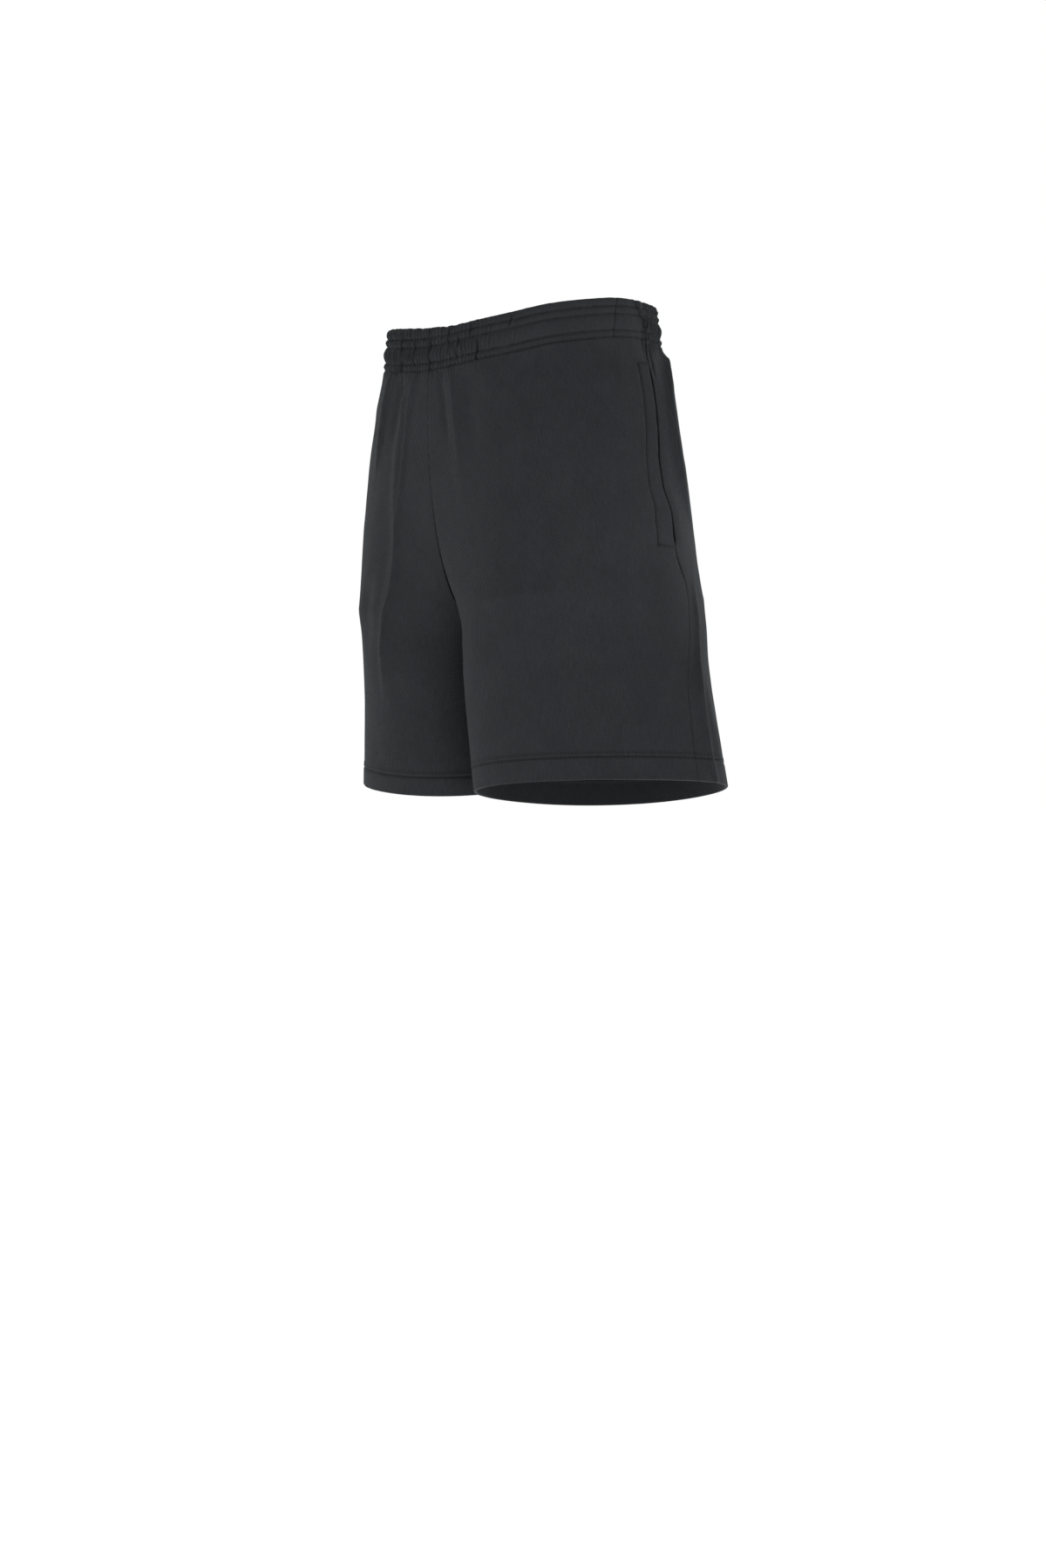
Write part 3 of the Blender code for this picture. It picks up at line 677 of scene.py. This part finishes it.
def panel_places(drop, end, steps):
    """A panel's columns at a drop: their places around, how far they lie from the side seam, and
    the panel's length from there to the centre seam or inseam."""
    above, below = CROTCH_ZONE
    pick = 0 if end == "front" else -1
    length = abs(half_ring(drop)[1][pick]) - SEAM_GAP
    even = length
    if above < drop < below:
        share = (drop - above) / (below - above)
        lengths = [abs(half_ring(d)[1][pick]) - SEAM_GAP for d in (above, below)]
        even = lengths[0] * (1 - share) + lengths[1] * share
    stitch = mouth_stitch(drop)
    near_end = stitch + NEAR_SEAM - STITCH_STEP
    near = np.interp(
        steps,
        (0.0, SEAM_STEPS[-1], STITCH_STEP - STITCH_STEPS, STITCH_STEP + STITCH_STEPS, NEAR_SEAM),
        (0.0, SEAM_STEPS[-1], stitch - STITCH_STEPS, stitch + STITCH_STEPS, near_end),
    )
    far = np.clip((steps - NEAR_SEAM) / (steps[-1] - NEAR_SEAM), 0.0, 1.0)
    place = near + far * (even - near_end) + (length - even) * far**8
    place = SEAM_GAP / 2 + place
    if end == "front":
        return beside_seam(-place[::-1], drop), place[::-1], length
    return beside_seam(place, drop), place, length


def with_close_rows(even, lines, step):
    """Even rows, with five close ones at each line."""
    close = np.add.outer(lines, np.arange(-2, 3) * step).ravel()
    kept = [row for row in even if np.abs(row - np.array(lines)).min() > CLOSE_ROWS]
    return sorted([*kept, *close])


def panel_drops():
    even = np.arange(0.0060, PANEL_LENGTH - 0.0305, PANEL_STEP)
    crotch = np.arange(0.2600, 0.2790, 0.0007)
    hem = PANEL_LENGTH - np.concatenate(
        [np.arange(0.0300, 0.0172, -0.0007), np.arange(0.0155, 0.0030, -0.0024)]
    )
    brink = PANEL_LENGTH - np.array([0.0022, 0.0013, 0.0009, 0.0005, 0.0002, 0.0])
    top = np.array([SEAM_GAP / 2, 0.0005, 0.0010, 0.0017, 0.0026, 0.0036, 0.0047])
    even = with_close_rows(even, (MOUTH_TOP, MOUTH_BOTTOM), 0.0007)
    drops = np.concatenate([top, even, crotch, hem, brink])
    drops = np.unique(np.round(drops, 6))
    return drops[np.concatenate([[True], np.diff(drops) > 0.00025])]


def panel_painted_shade(drop, from_side, from_centre, side, end):
    """Painted shade of the panel's points, from 0 to 1: the darker, the deeper they lie in a seam or a
    stitched line.
    """
    upper, lower = HEM_STITCHES[side]
    above_hem = PANEL_LENGTH - drop
    painted_shade = 1.3 * side_seam_dip(drop) / 0.0012 * dent(from_side, 0.0011)
    painted_shade += 0.10 * dent(from_centre, 0.0008)
    painted_shade += 0.35 * dent(above_hem - upper, 0.0008) + 0.75 * dent(above_hem - lower, 0.0009)
    painted_shade += 0.7 * dent(drop, 0.0012)
    if end == "front":
        stitch = mouth_stitch(drop)
        bars = dent(drop - MOUTH_TOP, 0.0011) + dent(drop - MOUTH_BOTTOM, 0.0011)
        painted_shade += 1.2 * bars * smooth_step((stitch + 0.0022 - from_side) / 0.0008)
        if 0 < mouth_share(drop) < 1:
            painted_shade += 0.8 * dent(from_side - stitch, 0.0009)
            painted_shade += mouth_opening(drop) * dent(from_side, 0.0008)
    if end == "back":
        painted_shade += 1.2 * mouth_opening(drop) * dent(from_side, 0.0016)
        if side == "left":
            painted_shade += 0.7 * dent(from_side - 0.0075, 0.0014) * dent(drop - 0.016, 0.014)
    return painted_shade


def side_seam_dip(drop):
    """The side seam is drawn in above the pocket's mouth and just below it."""
    return SEAM_DIP + SIDE_SEAM_DIP * (dent(drop - 0.008, 0.020) + 0.8 * dent(drop - 0.218, 0.016))


def make_panel(name, side, end, materials):
    steps = panel_steps()
    rows = []
    for drop in panel_drops():
        drop = float(drop)
        around, from_side, length = panel_places(drop, end, steps)
        points, normal = panel_row(drop, mouth_places(drop, around, end), side, end)
        from_centre = length + SEAM_GAP - from_side
        seam = side_seam_dip(drop) * dent(from_side, SEAM_DIP_WIDTH)
        fall = seam + 0.5 * SEAM_DIP * dent(from_centre, SEAM_DIP_WIDTH)
        rounded = edge_round(from_side, EDGE_ROUND) - seam
        fall = fall + mouth_opening(drop) * np.where(from_side < MOUTH_REACH, rounded, 0.0)
        fall = fall + SEAM_DIP * dent(drop, SEAM_DIP_WIDTH)
        above_hem = PANEL_LENGTH - drop
        fall = fall + edge_round(above_hem, EDGE_ROUND)
        folded = smooth_step((HEM_STITCHES[side][0] + 0.0012 - above_hem) / 0.0012 + 0.5)
        thick = CLOTH + (HEM_PLIES - CLOTH) * folded
        thick = thick - edge_round(above_hem, EDGE_ROUND)
        thick = np.maximum(thick, fall + THINNEST_PLY)
        # Painted shade in the panel's seams, stitching and pocket mouth.
        painted_shade = panel_painted_shade(drop, from_side, from_centre, side, end)
        rows.append(wall_row(points, normal, fall, thick, around, drop, painted_shade))
    return wall(name, *wall_grids(rows, side), side == "right", materials)


def make_pocket_bag(name, side, materials):
    """The bag's inner layer, flat behind the front panel, rounded at its lower front corner."""
    rows = []
    near = CLOTH + BAG_CLEARANCE
    for drop in np.linspace(0.018, BAG_BOTTOM, 60):
        drop = float(drop)
        corner = max(0.0, drop - (BAG_BOTTOM - BAG_CORNER)) / BAG_CORNER
        width = BAG_WIDTH - BAG_CORNER * (1 - math.sqrt(1 - min(corner, 1.0) ** 2))
        around = beside_seam(np.linspace(-width, -SEAM_GAP / 2, 50), drop)
        points, normal = panel_row(drop, around, side, "back")
        # The whole bag takes the full painted shade, for the dark inside the pocket.
        rows.append(wall_row(points, normal, near, near + BAG_PLY, around, drop, np.ones_like(around)))
    return wall(name, *wall_grids(rows, side), side == "right", materials)


def looseness(turn, side):
    return np.interp(turn, *zip(*LOOSE[side]))


def tuck_and_puckers(drop, turn, around, side):
    """Lift of the casing's side tuck and deep puckers, and the painted shade in their valleys."""
    lift, painted_shade = np.zeros_like(turn), np.zeros_like(turn)
    for pucker in rows_of(side, PUCKERS, PUCKER_COLUMNS):
        reach = smooth_step((drop - pucker["low"]) / 0.006)
        reach = reach * smooth_step((pucker["high"] - drop) / 0.006)
        wander = 0.0012 * math.sin(drop * 260 + pucker["turn"] * 40)
        distance = (turn - pucker["turn"]) * FRONT_TURN + wander
        valley = dent(distance, pucker["width"])
        lift -= pucker["depth"] * reach * (valley - 0.35 * dent(np.abs(distance) - 0.0036, 0.0020))
        painted_shade += 0.7 * reach * valley
    if side == "left":
        from_tuck = around - np.interp(drop, *zip(*TUCK))
        valley = dent(from_tuck, 0.0010)
        lift += 0.0014 * dent(from_tuck - 0.0065, 0.0040) + 0.0010 * dent(from_tuck + 0.0026, 0.0016)
        lift -= 0.0032 * valley
        painted_shade += 1.3 * valley + 0.6 * dent(from_tuck - 0.0036, 0.0009)
    return lift, painted_shade


def band_stand(drop, turn, around, side):
    """How far the casing's outer face stands off at a drop: channels, gathers and stitching. Also
    how much painted shade each point takes, the more the deeper it lies in a stitched row, a
    gather's valley or a pucker.
    """
    seed = 20.0 if side == "left" else 25.0
    loose = looseness(turn, side)
    puff = sum(
        stand * math.sin(math.pi * (drop - low) / (high - low))
        for low, high, stand in zip(CHANNEL_EDGES, CHANNEL_EDGES[1:], CHANNEL_STANDS)
        if low < drop < high
    )
    rows = sum(dent(drop - line, 0.0009) for line in BAND_STITCHES)
    near_rows = min(sum(dent(drop - line, 0.0030) for line in BAND_STITCHES), 1.0)
    drift = 0.010 * ripple(turn, drop, 14, 70, seed)
    wave = gather_height(turn + drift, side)
    from_edge = WAISTBAND_HEIGHT / 2 - 0.0002 - abs(drop + WAISTBAND_HEIGHT / 2)
    inside = float(smooth_step(from_edge / 0.004))
    ticks = np.sin(turn * 2 * math.pi / 0.0098 + 4 * ripple(turn, drop, 12, 40, seed + 2))
    uneven = 0.6 + 0.6 * ripple(turn, 0.0, 9, 1, seed + 3)
    tick_share = near_rows * uneven * (0.15 + 0.85 * loose)
    broken = np.clip(0.75 + 0.9 * ripple(turn, drop, 32, 90, seed + 4), 0.25, 1.2)
    lift, painted_shade = tuck_and_puckers(drop, turn, around, side)
    lift += puff * (0.6 + 0.45 * loose) - 0.0011 * rows * (0.5 + 0.5 * broken)
    lift += wave * (0.35 + 0.75 * loose) * (1 - 0.70 * near_rows) * (0.4 + 0.6 * inside)
    lift += 0.00050 * ticks * tick_share
    lift += 0.0004 * loose * ripple(turn, drop, 45, 160, seed + 1)
    # Painted shade in the stitched rows, the stitch ticks and the gathers' valleys.
    painted_shade += 0.42 * rows * broken + 0.40 * tick_share * np.clip(-ticks, 0.0, 1.0)
    painted_shade += np.clip(-wave * loose / 0.0030, 0.0, 0.45) * (1 - near_rows)
    return lift, painted_shade


def band_row(drop, turn, side):
    places = half_ring(drop)[1]
    around = np.where(turn < 0, -turn * places[0], turn * places[-1])
    return rest_point(drop, around, side), outward(drop, around, side), around


def band_turns(start, end):
    """Even steps, with close steps at both ends of the piece."""
    even = np.linspace(start, end, int((end - start) / 0.0026))
    close = np.array([0.002, 0.005])
    found = np.unique(np.concatenate([even, start + close, end - close]))
    return found[np.concatenate([[True], np.diff(found) > 0.0006])]


def band_grid(side, start, end):
    """Grids of a stretch of the casing on one half, from its top downwards."""
    turn = band_turns(start, end)
    top = np.array([0.0, 0.0002, 0.0005, 0.0009, 0.0013])
    even = np.arange(-WAISTBAND_HEIGHT + 0.0022, -0.0020, BAND_STEP)
    even = with_close_rows(even, BAND_STITCHES, 0.0006)
    rows = []
    for drop in (*(top - WAISTBAND_HEIGHT), *even, -0.0012, -0.0006, -SEAM_GAP / 2):
        drop = float(drop)
        points, normal, around = band_row(drop, turn, side)
        brink = edge_round(drop + WAISTBAND_HEIGHT, EDGE_ROUND)
        fall = brink + SEAM_DIP * dent(drop, SEAM_DIP_WIDTH)
        join = np.where(turn < 0, turn - BAND_JOIN, 1.0) * FRONT_TURN
        centre = (1 - np.abs(turn)) * CENTRE_TURN
        fall = fall + 0.0009 * dent(join, 0.0012) + 0.0005 * dent(centre, 0.0012)
        stand, deep = band_stand(drop, turn, around, side)
        lift = stand - fall
        # Painted shade at the joins, the centre seam and the waist seam.
        deep = deep + 0.5 * dent(join, 0.0009) + 0.4 * dent(centre, 0.0009) + 0.7 * dent(drop, 0.0011)
        near_top = math.exp(-(drop + WAISTBAND_HEIGHT) / TOP_RISE_FADE)
        points[:, 2] += near_top * sum(
            height * smooth_step((-turn - first) / run) for height, first, run in TOP_RISES[side]
        )
        points[:, 2] += 0.0007 * near_top * looseness(turn, side) * ripple(turn, 0.0, 38, 1, 31.0)
        thick = np.maximum(WAISTBAND_WALL - brink, 2 * THINNEST_PLY - lift)
        rows.append(wall_row(points, normal, -lift, thick, around, drop, deep))
    return wall_grids(rows, side)


def shortened(grid, ends):
    """Moves a grid's end columns half a seam's gap inwards."""
    grid = grid.copy()
    for end in ends:
        inside = 1 if end == 0 else -2
        towards = grid[:, inside] - grid[:, end]
        length = np.linalg.norm(towards, axis=1)[:, None]
        grid[:, end] += towards / length * SEAM_GAP / 2
    return grid


def make_front_band(name, side, materials):
    outer, inner, cloth, painted_shade = band_grid(side, -1.0, BAND_JOIN)
    outer, inner = shortened(outer, [-1]), shortened(inner, [-1])
    return wall(name, outer, inner, cloth, painted_shade, side == "right", materials)


def make_back_band(name, materials):
    joined = []
    for left, right in zip(*(band_grid(side, BAND_JOIN, 1.0) for side in ("left", "right"))):
        middle = (left[:, -1:] + right[:, -1:]) / 2
        joined.append(np.concatenate([left[:, :-1], middle, right[:, -2::-1]], axis=1))
    outer, inner, cloth, painted_shade = joined
    outer, inner = shortened(outer, [0, -1]), shortened(inner, [0, -1])
    return wall(name, outer, inner, cloth, painted_shade, False, materials)


# ---------------------------------------------------------------- stitching
def thread(name, starts, ends, normals):
    """Stitches: short bowed capsules from starts to ends, sunk into the cloth at both ends."""
    starts, ends, normals = (np.concatenate(part) for part in (starts, ends, normals))
    run = ends - starts
    run /= np.linalg.norm(run, axis=1)[:, None]
    across = np.cross(run, normals)
    across /= np.linalg.norm(across, axis=1)[:, None]
    up = np.cross(across, run)
    angles = np.arange(5) * 2 * math.pi / 5
    rings = []
    for share, lift, width in ((0.0, -0.9, 0.6), (0.25, 0.3, 1.0), (0.75, 0.3, 1.0), (1.0, -0.9, 0.6)):
        centre = starts + share * (ends - starts) + lift * THREAD_RADIUS * up
        for angle in angles:
            spoke = math.cos(angle) * across + math.sin(angle) * up
            rings.append(centre + THREAD_RADIUS * width * spoke)
    points = np.stack(rings, axis=1)
    faces = [[4, 3, 2, 1, 0], [15, 16, 17, 18, 19]]
    for ring in range(3):
        for k in range(5):
            a, b = ring * 5 + k, ring * 5 + (k + 1) % 5
            faces.append([a, b, b + 5, a + 5])
    all_faces = [[n * 20 + v for v in face] for n in range(len(points)) for face in faces]
    mesh = bpy.data.meshes.new(name)
    mesh.from_pydata(points.reshape(-1, 3).tolist(), [], all_faces)
    mesh.shade_smooth()
    mesh.materials.append(THREAD)
    return add_piece(name, mesh)


def run_of_stitches(points, normals, side):
    """Start, end and normal of each stitch along a densely sampled line of one half."""
    points, normals = mirrored(points, side), mirrored(normals, side)
    length = lengths(points)
    start = np.arange(STITCH_PITCH / 2, length[-1] - STITCH_PITCH / 2, STITCH_PITCH)
    ends = [points_at(at, length, points) for at in (start, start + STITCH_LENGTH)]
    return [*ends, points_at(start + STITCH_LENGTH / 2, length, normals)]


def hem_stitches(side):
    rows = []
    for line in HEM_STITCHES[side]:
        drop = PANEL_LENGTH - line
        places, seam = half_ring(drop)[1], seam_around(drop)
        for end, low, high in (("front", places[0], seam), ("back", seam, places[-1])):
            around = np.arange(low + SEWING_MARGIN, high - SEWING_MARGIN, SEWING_SAMPLE)
            rows.append(run_of_stitches(*panel_row(drop, around, side, end), side))
    return rows


def band_stitches(side):
    rows = []
    for drop in BAND_STITCHES:
        for start, end in ((-0.997, BAND_JOIN - 0.004), (BAND_JOIN + 0.004, 0.999)):
            turn = np.arange(start, end, 0.0025)
            points, normal, around = band_row(drop, turn, side)
            points = points + band_stand(drop, turn, around, side)[0][:, None] * normal
            rows.append(run_of_stitches(points, normal, side))
    return rows


def pocket_point(drop, place, side):
    around = beside_seam(np.array([-place]), drop)
    points, normal = panel_row(drop, mouth_places(drop, around, "front"), side, "front")
    return points[0], normal[0]


def pocket_stitches(side):
    """The line beside the pocket's mouth and the bars that close it above and below."""
    drops = np.arange(MOUTH_TOP, MOUTH_BOTTOM, SEWING_SAMPLE)
    line = [pocket_point(float(d), mouth_stitch(float(d)), side) for d in drops]
    points, normals = (np.array(part) for part in zip(*line))
    rows = [run_of_stitches(points, normals, side)]
    for drop in (MOUTH_TOP, MOUTH_BOTTOM):
        bars = []
        for place in np.arange(0.0008, mouth_stitch(drop) + 0.0020, 0.00050):
            low, normal = pocket_point(drop + BAR_HALF, float(place), side)
            high, _ = pocket_point(drop - BAR_HALF, float(place) + 0.0002, side)
            bars.append((low, high, normal))
        rows.append([mirrored(np.array(part), side) for part in zip(*bars)])
    return rows


# ---------------------------------------------------------------- materials
# The most that the painted shade in seams, stitching and puckers darkens the colour.
CREVICE_SHADE = 0.72


def connect(tree, node, inputs):
    """Gives a node's inputs their values, or links from other nodes' sockets."""
    for name, value in inputs.items():
        if isinstance(value, bpy.types.NodeSocket):
            tree.links.new(value, node.inputs[name])
        else:
            node.inputs[name].default_value = value


def add(tree, kind, inputs=None, **settings):
    node = tree.nodes.new(kind)
    for key, value in settings.items():
        setattr(node, key, value)
    connect(tree, node, inputs or {})
    return node


def shader_tree(name, values):
    material = bpy.data.materials.new(name)
    material.use_nodes = True
    tree = material.node_tree
    shader = tree.nodes["Principled BSDF"]
    connect(tree, shader, values)
    return material, tree, shader


def scaled_noise(tree, source, scale, detail, roughness=0.5):
    """Noise over a set of coordinates, stretched by scale."""
    mapping = add(tree, "ShaderNodeMapping", {"Scale": scale, "Vector": source})
    texture = add(tree, "ShaderNodeTexNoise", {
        "Vector": mapping.outputs["Vector"], "Scale": 1.0, "Detail": detail, "Roughness": roughness,
    })
    return texture.outputs["Fac"]


def maths(tree, operation, first, second=0.5):
    return add(tree, "ShaderNodeMath", {0: first, 1: second}, operation=operation).outputs[0]


def weighted(tree, *terms):
    """The sum of sockets, each times its weight."""
    parts = [maths(tree, "MULTIPLY", source, weight) for source, weight in terms]
    return functools.reduce(functools.partial(maths, tree, "ADD"), parts)


def ramp(tree, source, stops):
    node = add(tree, "ShaderNodeValToRGB", {"Fac": source})
    elements = node.color_ramp.elements
    for element, (place, colour) in zip(elements, (stops[0], stops[-1])):
        element.position = place
        element.color = (*colour, 1.0)
    for place, colour in stops[1:-1]:
        elements.new(place).color = (*colour, 1.0)
    return node.outputs["Color"]


def bump(tree, height, distance, strength, **more):
    inputs = {"Height": height, "Distance": distance, "Strength": strength, **more}
    return add(tree, "ShaderNodeBump", inputs).outputs["Normal"]


def fleece_material(name, dark, light, wale_pitch, wale_depth, fuzz):
    """Knitted fleece: wales down the cloth, streaky yarn, soft nap."""
    material, tree, shader = shader_tree(name, {
        "Roughness": 0.95, "Specular IOR Level": 0.12, "Sheen Weight": 0.09,
        "Sheen Roughness": 0.5, "Sheen Tint": (0.80, 0.85, 0.92, 1.0),
    })
    place = add(tree, "ShaderNodeUVMap", uv_map="cloth").outputs["UV"]
    around_drop = add(tree, "ShaderNodeSeparateXYZ", {"Vector": place}).outputs
    body = add(tree, "ShaderNodeTexCoord").outputs["Object"]

    streaks = scaled_noise(tree, place, (700.0, 90.0, 1.0), 3.0, 0.6)
    yarn = scaled_noise(tree, place, (1500.0, 700.0, 1.0), 2.0, 0.6)
    broad = scaled_noise(tree, body, (45.0, 45.0, 30.0), 4.0, 0.6)
    wander = maths(tree, "MULTIPLY", scaled_noise(tree, place, (260.0, 60.0, 1.0), 2.0), 2.2)
    phase = maths(tree, "MULTIPLY", around_drop["X"], 2 * math.pi / wale_pitch)
    wale = maths(tree, "SINE", maths(tree, "ADD", phase, wander))
    tone = weighted(tree, (streaks, 0.42), (yarn, 0.33), (broad, 0.25), (wale, 0.060))
    middle = tuple((low + high) / 2 for low, high in zip(dark, light))
    colour = ramp(tree, tone, ((0.34, dark), (0.50, middle), (0.66, light)))
    # Painted shade: the colour darkens by the mesh's shade attribute, in seams, stitched lines and
    # puckers.
    painted_shade = add(tree, "ShaderNodeAttribute", attribute_name="painted_shade").outputs["Fac"]
    lit = maths(tree, "SUBTRACT", 1.0, maths(tree, "MULTIPLY", painted_shade, CREVICE_SHADE))
    shaded = add(tree, "ShaderNodeVectorMath", {0: colour, "Scale": lit}, operation="SCALE")

    course = maths(tree, "MULTIPLY", around_drop["Y"], 2 * math.pi / (wale_pitch * 1.3))
    loop = maths(tree, "MULTIPLY", maths(tree, "SINE", course), 0.25)
    knit = bump(tree, maths(tree, "ADD", wale, loop), wale_depth, 0.55)
    nap = scaled_noise(tree, body, (2600.0, 2600.0, 1500.0), 3.0, 0.65)
    connect(tree, shader, {
        "Base Color": shaded.outputs["Vector"],
        "Normal": bump(tree, nap, fuzz, 0.5, Normal=knit),
        "Roughness": maths(tree, "ADD", 0.88, maths(tree, "MULTIPLY", yarn, 0.12)),
    })
    return material


def thread_material(name, dark, light):
    material, tree, shader = shader_tree(name, {
        "Roughness": 0.7, "Specular IOR Level": 0.35, "Sheen Weight": 0.10, "Sheen Roughness": 0.5,
    })
    body = add(tree, "ShaderNodeTexCoord").outputs["Object"]
    twist = scaled_noise(tree, body, (1800.0, 1800.0, 1800.0), 2.0)
    connect(tree, shader, {
        "Base Color": ramp(tree, twist, ((0.35, dark), (0.65, light))),
        "Normal": bump(tree, twist, 0.0002, 0.4),
    })
    return material


# Each cloth's darkest and lightest colour, the pitch and depth of its wales and the depth of its nap.
FLEECES = (
    ("fleece_face", (0.0170, 0.0183, 0.0208), (0.0284, 0.0305, 0.0339), 0.00180, 0.00030, 0.00025),
    # fleece_inside is the brushed back with its own nap, its colour darkened as painted shade for the
    # inside of the legs.
    ("fleece_inside", (0.0140, 0.0149, 0.0163), (0.0205, 0.0218, 0.0236), 0.00160, 0.00015, 0.00060),
    # waistband_face has the casing's own knit, its colour a little lighter than the panels' as painted
    # light against the shade of its gathered relief.
    ("waistband_face", (0.0180, 0.0193, 0.0218), (0.0292, 0.0314, 0.0348), 0.00150, 0.00026, 0.00022),
    ("pocket_face", (0.0110, 0.0118, 0.0129), (0.0160, 0.0171, 0.0186), 0.00090, 0.00012, 0.00010),
)
FACE, SHADED_INSIDE, BAND_FACE, BAG_FACE = (fleece_material(*cloth) for cloth in FLEECES)
THREAD = thread_material("sewing_thread", (0.0060, 0.0065, 0.0073), (0.0115, 0.0124, 0.0138))


# ---------------------------------------------------------------- the pieces
def finish_sheet(node):
    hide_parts(node)


def make_pieces():
    cloth, band = [FACE, SHADED_INSIDE], [BAND_FACE, SHADED_INSIDE]
    for side in ("left", "right"):
        front = make_panel("front_" + side + "_cloth", side, "front", cloth)
        finish_sheet("front_" + side)
        back = make_panel("back_" + side + "_cloth", side, "back", cloth)
        finish_sheet("back_" + side)
        bag = make_pocket_bag("pocket_" + side + "_cloth", side, [BAG_FACE])
        finish_sheet("pocket_" + side)
        front_band = make_front_band("waistband_front_" + side + "_cloth", side, band)
        finish_sheet(
            "waistband_front_" + side
        )
        sewn = (("hem", hem_stitches), ("waistband", band_stitches), ("pocket", pocket_stitches))
        for name, work_out in sewn:
            piece = thread(name + "_stitches_" + side, *zip(*work_out(side)))
    back_band = make_back_band("waistband_back_cloth", band)
    finish_sheet("waistband_back")


# ---------------------------------------------------------------- camera, light and floor
CAMERA_AZIMUTH = 50.0
CAMERA_DISTANCE = 3.3
CAMERA_HEIGHT = -0.446
FOCAL_PIXELS = 3837
FRAME_HEIGHT_PIXELS = 1799
SENSOR_HEIGHT = 36.0
FLOOR_HEIGHT = -1.15
FLOOR_REACH = 60.0
WORLD_LIGHT = 0.12
LAMP_DISTANCE = 3.4
LAMP_AIM = Vector((0.0, 0.0, -0.22))
# Each lamp's turn to the right of the camera, height, size and power.
LAMPS = (
    ("key", 20.0, 0.6, 2.4, 36.0),
    ("fill", -20.0, 0.6, 2.4, 18.5),
    ("back", 190.0, 0.6, 2.4, 18.0),
    ("rim_left", -148.0, 0.9, 1.6, 13.0),
    ("rim_right", 142.0, 0.9, 1.6, 26.0),
)


def camera_place(distance, turn, height):
    """A point at a distance from the object's axis, turned to the right of the camera."""
    angle = math.radians(CAMERA_AZIMUTH + turn)
    return Vector((math.sin(angle) * distance, -math.cos(angle) * distance, height))


def make_camera():
    lens = bpy.data.cameras.new("camera")
    lens.sensor_fit = "VERTICAL"
    lens.sensor_height = SENSOR_HEIGHT
    lens.lens = FOCAL_PIXELS / FRAME_HEIGHT_PIXELS * SENSOR_HEIGHT
    camera = add_object("camera", lens)
    camera.location = camera_place(CAMERA_DISTANCE, 0.0, CAMERA_HEIGHT)
    camera.rotation_euler = (math.radians(90), 0.0, math.radians(CAMERA_AZIMUTH))
    bpy.context.scene.camera = camera


def make_lamp(name, turn, height, size, power):
    light = bpy.data.lights.new(name, "AREA")
    light.shape = "DISK"
    light.size = size
    light.energy = power
    light.color = (1.0, 1.0, 1.0)
    lamp = add_object(name, light)
    lamp.location = camera_place(LAMP_DISTANCE, turn, height)
    lamp.rotation_euler = (LAMP_AIM - lamp.location).to_track_quat("-Z", "Y").to_euler()


def make_world():
    """White to the eye, dimmer as a light, so that the lamps model the cloth."""
    world = bpy.data.worlds.new("studio")
    world.use_nodes = True
    tree = world.node_tree
    glow = tree.nodes["Background"]
    connect(tree, glow, {"Color": (1.0, 1.0, 1.0, 1.0), "Strength": WORLD_LIGHT})
    seen = add(tree, "ShaderNodeBackground", {"Color": (1.0, 1.0, 1.0, 1.0), "Strength": 1.0})
    chosen = add(tree, "ShaderNodeMixShader", {
        "Fac": add(tree, "ShaderNodeLightPath").outputs["Is Camera Ray"],
        1: glow.outputs["Background"],
        2: seen.outputs["Background"],
    })
    connect(tree, tree.nodes["World Output"], {"Surface": chosen.outputs["Shader"]})
    bpy.context.scene.world = world
    bpy.context.scene.view_settings.view_transform = "Standard"


def floor_material():
    """Matt white, blending into the bright surroundings far from the object."""
    material, tree, shader = shader_tree("studio_floor", {
        "Base Color": (0.9, 0.9, 0.9, 1.0), "Roughness": 0.9, "Specular IOR Level": 0.1,
        "Emission Color": (1.0, 1.0, 1.0, 1.0),
    })
    body = add(tree, "ShaderNodeTexCoord").outputs["Object"]
    reach = add(tree, "ShaderNodeVectorMath", {0: body}, operation="LENGTH").outputs["Value"]
    far = add(tree, "ShaderNodeMapRange", {
        "Value": reach, "From Min": 0.5, "From Max": 2.5, "To Min": 0.80, "To Max": 1.0,
    })
    connect(tree, shader, {"Emission Strength": far.outputs["Result"]})
    return material


def make_floor():
    mesh = bpy.data.meshes.new("floor")
    corners = ((-1, -1), (1, -1), (1, 1), (-1, 1))
    mesh.from_pydata([(x * FLOOR_REACH, y * FLOOR_REACH, 0.0) for x, y in corners], [], [[0, 1, 2, 3]])
    mesh.materials.append(floor_material())
    floor = add_object("floor", mesh)
    floor.location = (0.0, 0.0, FLOOR_HEIGHT)


make_camera()
make_world()
make_floor()
for lamp_row in LAMPS:
    make_lamp(*lamp_row)
make_pieces()
